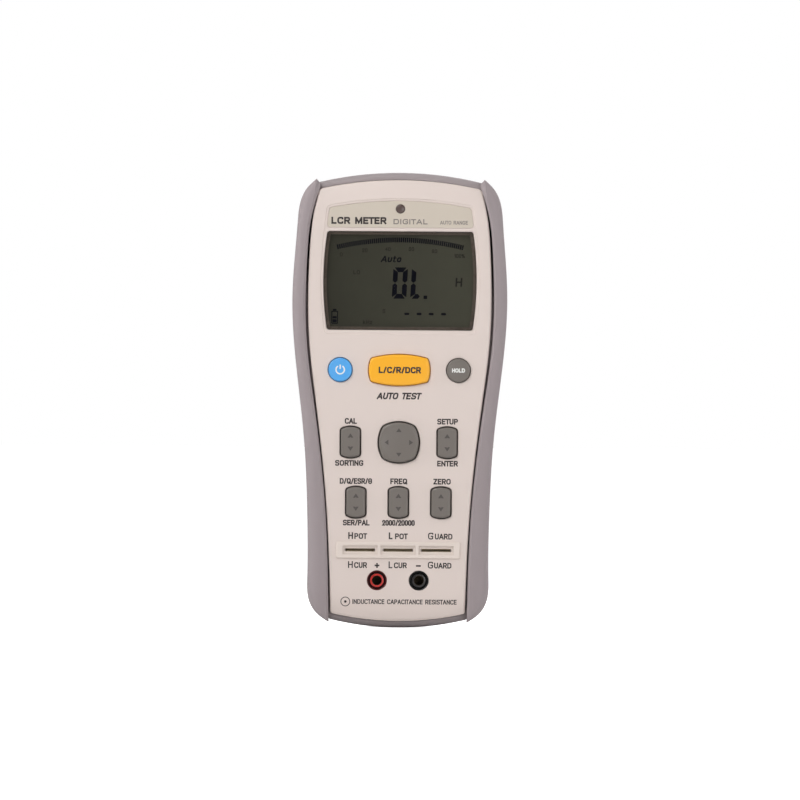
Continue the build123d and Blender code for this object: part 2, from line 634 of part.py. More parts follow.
def tilt_stand():
    """Folding leg: a ribbed plate hung on two pins, with a rounded free end."""
    back = STAND_HINGE_Y + STAND_T / 2
    front = STAND_HINGE_Y - STAND_T / 2
    height = STAND_HINGE_Z - STAND_LOW_Z
    body = plate(STAND_W, height, 0, STAND_LOW_Z + height / 2, front, back)
    body = fillet(body.edges().filter_by(Axis.Y).sort_by(Axis.Z)[:2], 6.0)
    body += Pos(0, STAND_HINGE_Y, STAND_HINGE_Z) * Cylinder(STAND_T / 2, STAND_W, rotation=(0, 90, 0))
    body -= plate(STAND_W - 14, height - 30, 0, STAND_LOW_Z + height / 2 + 4, front + 1.6, back + 1, 3.0)
    for x in (-8.0, 0.0, 8.0):
        body += plate(1.6, height - 30, x, STAND_LOW_Z + height / 2 + 4, front + 1.4, back)
    body += Pos(0, STAND_HINGE_Y, STAND_HINGE_Z) * Cylinder(STAND_PIN_R, 2 * STAND_PIN_END_X, rotation=(0, 90, 0))
    return body


def rubber_feet():
    return [fillet(rod(x, z, FOOT_R, BACK_Y - 0.6, FOOT_Y).faces().sort_by(Axis.Y)[-1].edges(), 0.4) for x, z in FEET]


def rear_label():
    return plate(46.0, 12.0, 0, 183.0, BACK_Y - 0.3, BACK_Y, 0.9)


# ---------------------------------------------------------------- write the parts
def build():
    right = side_grip()
    parts = {
        "front_cover": front_cover(),
        "rear_case": rear_case(),
        "right_grip": right,
        "left_grip": mirror(right, Plane.YZ),
        "display_lens": display_lens(),
        "window_mask": window_mask(),
        "name_plate": name_plate(),
        "lamp_lens": lamp_lens(),
        "status_lamp": status_lamp(),
        "lcd_glass": lcd_glass(),
        "lcd_frame": lcd_frame(),
        "lcd_reflector": lcd_reflector(),
        "contact_strips": contact_strips(),
        "power_key": round_key(POWER_AT),
        "hold_key": round_key(HOLD_AT),
        "auto_key": auto_key(),
        "nav_pad": nav_pad(),
        "nav_pivot": nav_pivot(),
        "keypad_mat": keypad_mat(),
        "socket_block": socket_block(),
        "slot_contacts": slot_contacts(),
        "red_jack": jack_body(-JACK_X),
        "black_jack": jack_body(JACK_X),
        "red_sleeve": jack_sleeve(-JACK_X),
        "black_sleeve": jack_sleeve(JACK_X),
        "main_board": main_board(),
        "processor": chip(12.0, 14.0, 1.6, 2, 104),
        "bridge_chip": chip(7.6, 12.0, 2.2, -6, 76),
        "switch_chip": chip(4.0, 10.0, 1.6, 12, 76),
        "buzzer": buzzer(),
        "crystal": crystal(),
        "capacitors": capacitors(),
        "fuse": fuse(),
        "fuse_clips": fuse_clips(),
        "battery": battery(),
        "battery_snap": battery_snap(),
        "battery_leads": battery_leads(),
        "battery_door": battery_door(),
        "door_screw": door_screw(),
        "case_screws": case_screws(),
        "board_screws": board_screws(),
        "tilt_stand": tilt_stand(),
        "rubber_feet": rubber_feet(),
        "rear_label": rear_label(),
    }
    for name, at in ROCKERS.items():
        parts[name] = rocker_key(at)
    return parts


def main():
    os.makedirs("parts", exist_ok=True)
    for name, shape in build().items():
        solids = Compound(children=list(shape)) if isinstance(shape, list) else shape
        export_step(solids, f"parts/{name}.step")


if __name__ == "__main__":
    main()
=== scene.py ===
"""Looks of a handheld LCR meter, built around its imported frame.

Lengths in this file are millimetres until a mesh is written. +Z runs up the meter to its display end and
-Y points out of its face, as in the frame.
"""

import functools
import json
import math

import bmesh
import bpy
from mathutils import Matrix, Vector
from mathutils.geometry import delaunay_2d_cdt


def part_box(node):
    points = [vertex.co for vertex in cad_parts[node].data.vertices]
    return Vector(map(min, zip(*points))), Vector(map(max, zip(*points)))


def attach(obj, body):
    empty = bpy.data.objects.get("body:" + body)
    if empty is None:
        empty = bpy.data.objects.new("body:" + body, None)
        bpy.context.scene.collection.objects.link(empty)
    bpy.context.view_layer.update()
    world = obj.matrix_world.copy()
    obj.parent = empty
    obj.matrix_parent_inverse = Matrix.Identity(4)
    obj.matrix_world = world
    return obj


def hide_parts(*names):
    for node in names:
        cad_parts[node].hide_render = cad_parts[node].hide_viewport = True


bl_info = {
    "name": "Handheld LCR Meter",
    "version": (1, 0, 0),
    "blender": (4, 5, 0),
    "location": "3D View > Sidebar > Meter",
    "description": "Builds the finished pieces of a handheld LCR meter around its frame",
    "category": "Object",
}

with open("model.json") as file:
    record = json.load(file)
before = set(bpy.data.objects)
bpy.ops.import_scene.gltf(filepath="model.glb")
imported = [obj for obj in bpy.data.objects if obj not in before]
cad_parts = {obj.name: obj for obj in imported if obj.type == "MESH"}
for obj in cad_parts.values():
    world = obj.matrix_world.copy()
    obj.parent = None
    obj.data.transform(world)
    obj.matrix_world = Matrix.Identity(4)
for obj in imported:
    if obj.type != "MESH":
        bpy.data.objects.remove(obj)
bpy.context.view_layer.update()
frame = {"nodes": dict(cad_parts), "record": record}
MM = 0.001


# ---------------------------------------------------------------- places read from the frame
def low(node):
    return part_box(node)[0] / MM


def high(node):
    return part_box(node)[1] / MM


def middle(node):
    return (low(node) + high(node)) / 2


def at(node):
    """Where a node's centre stands on the face, as (x, z)."""
    centre = middle(node)
    return Vector((centre.x, centre.z))


HEIGHT = high("rear_case").z
FACE_Y = low("front_cover").y
SKIN_BACK_Y = FACE_Y + 2.2
COVER_BACK_Y = high("front_cover").y
RIM_Y = low("rear_case").y
CASE_BACK_Y = high("rear_case").y
GRIP_FRONT_Y = low("right_grip").y
GRIP_BACK_Y = high("right_grip").y
BEZEL_Y = low("name_plate").y
LENS_Y = low("display_lens").y
LCD_Y = low("lcd_glass").y
WINDOW = at("display_lens")
LAMP = at("lamp_lens")
POWER, HOLD, AUTO, NAV = (at(node) for node in ("power_key", "hold_key", "auto_key", "nav_pad"))
ROCKERS = ("cal_rocker", "setup_rocker", "loss_rocker", "freq_rocker", "zero_rocker")
SOCKET = at("socket_block")
JACKS = {"red": at("red_jack"), "black": at("black_jack")}

# half outlines as (x, z), from the display end down to the socket end
COVER_SIDE = [
    (37.0, 199.4), (39.6, 187.4), (41.15, 171.0), (41.75, 150.0), (40.9, 127.9), (38.0, 103.3), (35.6, 84.0),
    (33.0, 58.0), (31.3, 28.0), (30.6, 6.6)]
GROOVE_SIDE = [
    (36.5, 202.0), (36.6, 200.2), (37.5, 197.4), (39.0, 192.6), (40.5, 186.4), (42.2, 170.0), (42.9, 150.0),
    (42.05, 127.9), (38.9, 103.3), (36.3, 84.0), (33.6, 58.0), (32.0, 28.0), (31.5, 4.0)]
CASE_SIDE = [
    (36.9, 202.6), (41.4, 195.0), (44.2, 183.0), (45.9, 150.0), (40.4, 88.0), (38.2, 50.0), (37.8, 17.0),
    (34.6, 8.0), (30.9, 3.7)]
GRIP_SIDE = [
    (38.2, 204.0), (42.75, 199.5), (45.5, 193.6), (46.75, 184.0), (48.9, 150.0), (43.4, 88.0), (41.35, 48.0),
    (41.25, 22.0), (40.7, 13.0), (37.8, 7.3), (31.4, 2.4)]
COVER_TOP_Z = high("front_cover").z
COVER_BOTTOM_Z = low("front_cover").z

# how deep marks reach on the display, on the face and on the keys
SEGMENT_DEPTH, INK_DEPTH, KEY_INK_AND_SHADE_DEPTH = 0.03, 0.08, 0.1

# a grip's back corner is rounded off at its two tips
GRIP_HEEL_R = 11.0

# the face rolls back over its two ends
ROLL_R, ROLL_RUN = 35.0, 10.0
TOP_ARC_R, BOTTOM_ARC_R = 158.0, 128.0


# ---------------------------------------------------------------- settings a user would change
def paint(red, green, blue):
    """A display colour, 0 to 255, as the linear colour that shaders take."""
    def channel(value):
        value /= 255
        return value / 12.92 if value <= 0.04045 else ((value + 0.055) / 1.055) ** 2.4

    return tuple(channel(value) for value in (red, green, blue))


def colour_setting(name, description, colour):
    return bpy.props.FloatVectorProperty(
        name=name, description=description, subtype="COLOR", size=3, min=0, max=1, default=paint(*colour))


def length_setting(name, description, length):
    return bpy.props.FloatProperty(
        name=name, description=description, unit="LENGTH", subtype="DISTANCE", min=0, default=length * MM)


class MeterSizes(bpy.types.PropertyGroup):
    cover_edge: length_setting("Cover edge", "Round along the front cover's rim", 0.9)
    opening_edge: length_setting("Opening edge", "Round along the rims of the key openings", 0.3)
    grip_shoulder: length_setting("Grip shoulder", "Round between a grip's front and its side", 6.0)
    grip_bevel: length_setting("Grip bevel", "Chamfer along a grip's inner edge", 1.0)
    key_edge: length_setting("Key edge", "Round along a key cap's rim", 0.8)
    key_gap: length_setting("Key gap", "Gap round a key that presses straight in", 0.3)
    rocker_gap: length_setting("Rocker gap", "Gap round a key that rocks", 0.6)
    print_height: length_setting("Print height", "How far printed marks stand proud", 0.02)


class MeterColours(bpy.types.PropertyGroup):
    cover: colour_setting("Cover", "Front cover", (224, 210, 203))
    case: colour_setting("Case", "Rear case", (158, 148, 149))
    grip: colour_setting("Grip", "Side grips", (156, 145, 147))
    plate: colour_setting("Name plate", "Inset above the window", (206, 195, 181))
    mask: colour_setting("Window border", "Printed border behind the window", (98, 88, 81))
    lcd: colour_setting("Display", "Display glass", (77, 76, 66))
    segment: colour_setting("Segments", "Dark display segments", (10, 10, 24))
    blue_key: colour_setting("Power key", "Round key on the left", (84, 171, 240))
    yellow_key: colour_setting("Function key", "Barrel-shaped key", (254, 181, 32))
    grey_key: colour_setting("Grey keys", "Rocking keys, pad and hold key", (117, 110, 104))
    red_jack: colour_setting("Red jack", "Left jack", (205, 48, 42))
    ink: colour_setting("Legends", "Printed legends", (52, 45, 44))


# ---------------------------------------------------------------- outlines
def natural_spline(knots, values):
    """A natural cubic spline through (knot, value) pairs, as a function of the knot."""
    count = len(knots)
    gaps = [b - a for a, b in zip(knots, knots[1:])]
    bends = [0.0] * count
    pivots, carries = [1.0] * count, [0.0] * count
    for n in range(1, count - 1):
        rise = 6 * ((values[n + 1] - values[n]) / gaps[n] - (values[n] - values[n - 1]) / gaps[n - 1])
        share = gaps[n - 1] / pivots[n - 1] if n > 1 else 0.0
        pivots[n] = 2 * (gaps[n - 1] + gaps[n]) - share * gaps[n - 1]
        carries[n] = rise - share * carries[n - 1]
    for n in range(count - 2, 0, -1):
        bends[n] = (carries[n] - gaps[n] * bends[n + 1]) / pivots[n]

    def value(knot):
        n = max(i for i in range(count - 1) if i == 0 or knots[i] <= knot)
        gap, a, b = gaps[n], (knots[n + 1] - knot) / gaps[n], (knot - knots[n]) / gaps[n]
        curve = (a**3 - a) * bends[n] + (b**3 - b) * bends[n + 1]
        return a * values[n] + b * values[n + 1] + curve * gap * gap / 6

    return value


def smooth_line(points, steps):
    """A line through the points without a corner, as steps + 1 samples."""
    knots = [0.0]
    for a, b in zip(points, points[1:]):
        knots.append(knots[-1] + math.dist(a, b))
    tracks = [natural_spline(knots, [p[axis] for p in points]) for axis in (0, 1)]
    return [Vector([track(knots[-1] * n / steps) for track in tracks]) for n in range(steps + 1)]


def arc_line(start, through, end, steps):
    """The circular arc through three points, as steps + 1 samples."""
    a, b, c = Vector(start), Vector(through), Vector(end)
    ab, ac = b - a, c - a
    cross = 2 * (ab.x * ac.y - ab.y * ac.x)
    if abs(cross) < 1e-9:
        return [a.lerp(c, n / steps) for n in range(steps + 1)]
    to_centre = Vector((ac.y * ab.length_squared - ab.y * ac.length_squared,
                        ab.x * ac.length_squared - ac.x * ab.length_squared)) / cross
    centre = a + to_centre
    first = math.atan2(*(a - centre).yx)
    sweep = math.atan2(*(c - centre).yx) - first
    through_sweep = (math.atan2(*(b - centre).yx) - first) % math.tau
    sweep %= math.tau
    if through_sweep > sweep:
        sweep -= math.tau
    radius = to_centre.length
    angles = [first + sweep * n / steps for n in range(steps + 1)]
    return [centre + radius * Vector((math.cos(t), math.sin(t))) for t in angles]


def shortened(line, cut):
    """The line without its first stretch of that length."""
    line = [Vector(p) for p in line]
    while len(line) > 2 and (line[1] - line[0]).length <= cut:
        cut -= (line[1] - line[0]).length
        line.pop(0)
    line[0] = line[0] + (line[1] - line[0]).normalized() * cut
    return line


def joined(sides, radii, steps=6):
    """A closed outline of sides that run head to tail, with a round at the corner where each side starts."""
    sides = [[Vector(p) for p in side] for side in sides]
    radii = radii if isinstance(radii, (list, tuple)) else [radii] * len(sides)
    rounds = []
    for n, radius in enumerate(radii):
        before = (sides[n - 1][-1] - sides[n - 1][-2]).normalized()
        after = (sides[n][1] - sides[n][0]).normalized()
        turn = math.atan2(before.x * after.y - before.y * after.x, before.dot(after))
        rounds.append((radius, turn, before, radius * math.tan(abs(turn) / 2)))
    for n, (_, _, _, cut) in enumerate(rounds):
        sides[n] = shortened(sides[n], cut)
        sides[n - 1] = shortened(sides[n - 1][::-1], cut)[::-1]
    outline = []
    for n, (radius, turn, before, _) in enumerate(rounds):
        inward = Vector((-before.y, before.x)) * math.copysign(radius, turn)
        centre = sides[n - 1][-1] + inward
        outline += [centre - Matrix.Rotation(turn * k / steps, 2) @ inward for k in range(steps + 1)]
        outline += sides[n][1:-1]
    return outline


def cornered(corners, radii, steps=6):
    """A closed outline with straight sides between rounded corners."""
    return joined(list(zip(corners, corners[1:] + corners[:1])), radii, steps)


def four_corners(half_w, half_h):
    return [(half_w, half_h), (-half_w, half_h), (-half_w, -half_h), (half_w, -half_h)]


def boxed(half_w, half_h, radius):
    return cornered(four_corners(half_w, half_h), radius)


def bowed(half_w, half_h, bow_x, bow_z, radius):
    """A four-sided outline whose sides bow out."""
    corners = four_corners(half_w, half_h)
    crests = [(0, half_h + bow_z), (-half_w - bow_x, 0), (0, -half_h - bow_z), (half_w + bow_x, 0)]
    return joined([arc_line(*side, 16) for side in zip(corners, crests, corners[1:] + corners[:1])], radius)


def ring(radius, steps=64):
    return [Vector((radius * math.cos(math.tau * n / steps), radius * math.sin(math.tau * n / steps)))
            for n in range(steps)]


def moved(outline, place):
    return [p + Vector(place) for p in outline]


def mirrored(line):
    return [Vector((-p[0], p[1])) for p in line][::-1]


def grown(outline, by):
    """A counter-clockwise outline with every side moved outwards by that much."""
    result = []
    for before, here, after in zip(outline[-1:] + outline[:-1], outline, outline[1:] + outline[:1]):
        into, out = here - before, after - here
        into = into.normalized() if into.length > 1e-7 else out.normalized()
        out = out.normalized() if out.length > 1e-7 else into
        normal = Vector((into.y + out.y, -into.x - out.x))
        normal.normalize()
        lean = max(normal.dot(Vector((into.y, -into.x))), 0.5)
        result.append(here + normal * by / lean)
    return result


def end_circle(corner, crown_z):
    """Centre height and signed radius of the end arc from a corner over the crown to its mirror image."""
    rise = crown_z - corner[1]
    radius = (corner[0] ** 2 + rise**2) / (2 * rise)
    return crown_z - radius, radius


def cover_outline(grow=0.0):
    """The front cover's outline, moved out or in by that much."""
    line = smooth_line(COVER_SIDE, 120)
    ends = [end_circle(line[0], COVER_TOP_Z), end_circle(line[-1], COVER_BOTTOM_Z)]
    line = [line[0] * 2 - line[1]] + line + [line[-1] * 2 - line[-2]]
    side = []
    for before, here, after in zip(line, line[1:], line[2:]):
        along = (after - before).normalized()
        side.append(here + Vector((-along.y, along.x)) * grow)
    side.insert(0, side[0] + (side[0] - side[1]).normalized() * 4)
    side.append(side[-1] + (side[-1] - side[-2]).normalized() * 4)

    def reach(p, end):
        centre_z, radius = end
        return math.hypot(p.x, p.y - centre_z) - abs(radius) - grow

    for end, flip in zip(ends, (False, True)):
        side = side[::-1] if flip else side
        while reach(side[1], end) > -0.05:
            side.pop(0)
        a, b = reach(side[0], end), reach(side[1], end)
        side[0] = side[0].lerp(side[1], a / (a - b))
        side = side[::-1] if flip else side
    top = arc_line(side[0], (0, COVER_TOP_Z + grow), (-side[0].x, side[0].y), 48)
    bottom = arc_line((-side[-1].x, side[-1].y), (0, COVER_BOTTOM_Z - grow), side[-1], 48)
    top_r, bottom_r = max(3.0 + grow, 0.4), max(1.5 + grow, 0.4)
    return joined([top, mirrored(side)[::-1], bottom, side[::-1]], [top_r, top_r, bottom_r, bottom_r])


def window_outline(grow=0.0):
    return moved(bowed(33.1 + grow, 22.4 + grow, 1.7, 0, max(1.2 + grow, 0.3)), WINDOW)


def label_outline():
    low_z, side_z, top_z, low_x, high_x = 182.0, 190.9, 194.1, 33.4, 32.2
    return joined([arc_line((high_x, side_z), (0, top_z), (-high_x, side_z), 32),
                   [(-high_x, side_z), (-low_x, low_z)], [(-low_x, low_z), (low_x, low_z)],
                   [(low_x, low_z), (high_x, side_z)]], 1.4)


def bezel_outline():
    low_z, side_z, top_z = 133.5, 191.8, 195.1
    low_x, mid_x, high_x = 34.2, 36.0, 33.3
    flank = smooth_line([(low_x, low_z), (mid_x, WINDOW.y), (high_x, side_z)], 32)
    return joined([arc_line((high_x, side_z), (0, top_z), (-high_x, side_z), 32), mirrored(flank),
                   [(-low_x, low_z), (low_x, low_z)], flank], 2.2)


AUTO_OUTLINE = bowed(12.8, 5.25, 1.1, 1.8, 1.0)
ROCKER_OUTLINE = bowed(4.3, 5.8, 0, 1.1, 1.15)
NAV_OUTLINE = bowed(7.1, 7.1, 1.95, 1.95, 1.6)
ROUND_KEY_R = 5.35
JACK_HOLE_R = 4.55
LAMP_HOLE_R = 2.15


def roll(x, z):
    """How far the face has rolled back at a point, near either end."""
    drop = 0.0
    for centre_z, radius in ((HEIGHT - TOP_ARC_R, COVER_TOP_Z - HEIGHT + TOP_ARC_R),
                             (BOTTOM_ARC_R, BOTTOM_ARC_R - COVER_BOTTOM_Z)):
        toward_end = (z - centre_z) * (1 if centre_z < HEIGHT / 2 else -1)
        past = math.hypot(x, z - centre_z) - (radius - ROLL_RUN)
        if toward_end > 0 and past > 0:
            drop += ROLL_R - math.sqrt(ROLL_R**2 - min(past, ROLL_RUN + 1) ** 2)
    return drop


# ---------------------------------------------------------------- mesh building
def traced(outlines):
    """All the points of closed outlines, and the edges that join them."""
    points, edges = [], []
    for outline in outlines:
        first, count = len(points), len(outline)
        edges += [(first + n, first + (n + 1) % count) for n in range(count)]
        points += outline
    return points, edges


def fenced(outline):
    """An outline with the box round it, which rules most points out at once."""
    xs, zs = zip(*outline)
    return outline, (min(xs), max(xs), min(zs), max(zs))


def inside(point, outline, box=None):
    """Whether the point lies in the closed outline."""
    if box and not (box[0] <= point.x <= box[1] and box[2] <= point.y <= box[3]):
        return False
    hit = False
    for a, b in zip(outline[-1:] + outline[:-1], outline):
        if (a.y > point.y) != (b.y > point.y):
            hit ^= point.x < a.x + (point.y - a.y) / (b.y - a.y) * (b.x - a.x)
    return hit


def filled(outlines, extra=()):
    """Triangles that fill the first outline but not the others, as indices into all the points."""
    points, edges = traced(outlines)
    outer, *holes = (fenced(outline) for outline in outlines)
    points += [p for p in extra if inside(p, *outer) and not any(inside(p, *hole) for hole in holes)]
    _, _, faces, origins, _, _ = delaunay_2d_cdt(points, edges, [], 1, 1e-7)
    kept = []
    for face in faces:
        corners = [origins[i][0] for i in face]
        centre = sum((points[i] for i in corners), Vector((0, 0))) / len(corners)
        if not any(inside(centre, *hole) for hole in holes):
            kept.append(corners)
    return points, kept


class Shape:
    """A mesh in the making, in millimetres."""

    def __init__(self):
        self.mesh = bmesh.new()

    def ring(self, outline, height):
        """Corners along an outline in x and z, at y = height or at y = height(x, z)."""
        place = height if callable(height) else lambda x, z: height
        return [self.mesh.verts.new((p[0] * MM, place(p[0], p[1]) * MM, p[1] * MM)) for p in outline]

    def face(self, corners):
        if len(set(corners)) == len(corners) > 2:
            self.mesh.faces.new(corners)

    def bridge(self, rings):
        """Skins successive rings with the same number of corners."""
        for one, two in zip(rings, rings[1:]):
            count = len(one)
            for n in range(count):
                m = (n + 1) % count
                self.face([one[n], one[m], two[m], two[n]])

    def fan(self, corners):
        """Closes a ring with a triangle fan to its middle."""
        centre = self.mesh.verts.new(sum((v.co for v in corners), Vector()) / len(corners))
        for a, b in zip(corners, corners[1:] + corners[:1]):
            self.face([a, b, centre])

    def plate(self, outer, front, back, holes=(), edge=0.0, hole_edge=0.0, extra=(), shift=None, steps=4):
        """A closed plate between two heights, with rounded rims at the front, moved back by shift(x, z)."""
        shift = shift or (lambda x, z: 0.0)
        front_rings, back_rings = [], []
        for outline, radius, way in [(outer, edge, -1)] + [(hole, hole_edge, 1) for hole in holes]:
            levels = [(0.0, back)]
            if radius:
                for n in range(steps + 1):
                    turn = math.pi / 2 * n / steps
                    levels.append((radius * (1 - math.cos(turn)), front + radius * (1 - math.sin(turn))))
            else:
                levels.append((0.0, front))
            lines = [grown(outline, way * inset) if inset else outline for inset, _ in levels]
            rings = [self.ring(line, lambda x, z, y=y: y + shift(x, z))
                     for line, (_, y) in zip(lines, levels)]
            self.bridge(rings)
            front_rings.append((lines[-1], rings[-1]))
            back_rings.append((lines[0], rings[0]))
        for loops, height, more in ((front_rings, front, extra), (back_rings, back, ())):
            points, faces = filled([line for line, _ in loops], more)
            corners = [v for _, made in loops for v in made]
            spare = points[len(corners):]
            corners += self.ring(spare, lambda x, z, y=height: y + shift(x, z))
            for face in faces:
                self.face([corners[i] for i in face])
        return self

    def cap(self, outline, place, front, back, edge, lift, rings=10, steps=5):
        """A key's cap: rounded rim, and a top that lift(x, z) raises above the front; closed at the back."""
        half_w = max(p[0] for p in outline)
        half_h = max(p[1] for p in outline)
        made = []

        def level(inset, height):
            kx, kz = (half_w - inset) / half_w, (half_h - inset) / half_h
            line = [Vector((p[0] * kx, p[1] * kz)) for p in outline]
            up = self.ring(line, lambda x, z: height - lift(x, z))
            for corner in up:
                corner.co += Vector((place[0] * MM, 0, place[1] * MM))
            made.append(up)

        level(0.0, back)
        for n in range(steps + 1):
            turn = math.pi / 2 * n / steps
            level(edge * (1 - math.cos(turn)), front + edge * (1 - math.sin(turn)))
        deepest = min(half_w, half_h)
        for n in range(1, rings):
            level(edge + (deepest - edge) * n / rings, front)
        self.bridge(made)
        self.fan(made[0])
        self.fan(made[-1])
        return self

    def lathe(self, profile, place, steps=64):
        """A closed profile of (radius, y) turned about a line along Y."""
        rings = []
        for radius, y in profile + profile[:1]:
            rings.append(self.ring(moved(ring(max(radius, 1e-4), steps), place), y))
        self.bridge(rings)
        return self

    def loft(self, sections):
        """Skins rings of 3-D corners and closes both ends."""
        rings = [[self.mesh.verts.new(Vector(p) * MM) for p in section] for section in sections]
        self.bridge(rings)
        self.fan(rings[0])
        self.fan(rings[-1])
        return self

    def marks(self, shapes, front, thickness):
        """A thin closed solid of overlapping outlines, each with a hole or None; front is y or y(x, z)."""
        points, edges = traced([line for pair in shapes for line in pair if line])
        corners, _, faces, _, _, _ = delaunay_2d_cdt(points, edges, [], 1, 1e-6)
        areas = [(fenced(outline), hole) for outline, hole in shapes]
        kept = []
        for face in faces:
            centre = sum((corners[i] for i in face), Vector((0, 0))) / len(face)
            if any(inside(centre, *area) and not (hole and inside(centre, hole)) for area, hole in areas):
                kept.append(face)
        used = sorted({i for face in kept for i in face})
        tops = dict(zip(used, self.ring([corners[i] for i in used], front)))
        backs = {i: self.mesh.verts.new(top.co + Vector((0, thickness * MM, 0))) for i, top in tops.items()}
        sides = {}
        for face in kept:
            self.face([tops[i] for i in face])
            self.face([backs[i] for i in reversed(face)])
            for a, b in zip(face, face[1:] + face[:1]):
                sides.setdefault(frozenset((a, b)), []).append((a, b))
        for (a, b), *shared in sides.values():
            if not shared:
                self.face([tops[b], tops[a], backs[a], backs[b]])
        return self

    def mirror(self):
        bmesh.ops.scale(self.mesh, vec=(-1, 1, 1), verts=self.mesh.verts)
        return self

    def piece(self, name, body, slot, *nodes, look=None, sharp=35.0, weighted=True):
        """Finishes the piece; its look is that of its slot unless it has one of its own."""
        bmesh.ops.remove_doubles(self.mesh, verts=self.mesh.verts, dist=1e-7)
        bmesh.ops.dissolve_degenerate(self.mesh, edges=self.mesh.edges, dist=1e-7)
        bmesh.ops.recalc_face_normals(self.mesh, faces=self.mesh.faces)
        data = bpy.data.meshes.new(name)
        self.mesh.to_mesh(data)
        self.mesh.free()
        settle(dressed(data, name, finish(look or slot), sharp, weighted), body, slot, *nodes)


def dressed(data, name, look, sharp=35.0, weighted=True):
    """An object of the mesh, shaded smooth up to the sharp angle."""
    data.polygons.foreach_set("use_smooth", [True] * len(data.polygons))
    data.set_sharp_from_angle(angle=math.radians(sharp))
    data.materials.clear()
    data.materials.append(look)
    piece = bpy.data.objects.new(name, data)
    bpy.context.scene.collection.objects.link(piece)
    if weighted:
        modifier = piece.modifiers.new("Even normals", "WEIGHTED_NORMAL")
        modifier.keep_sharp = True
        modifier.weight = 100
    return piece


def settle(piece, body, slot, *nodes):
    """Joins a piece to its body and hides the nodes that it stands for; its slot is not used."""
    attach(piece, body)
    if nodes:
        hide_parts(*nodes)


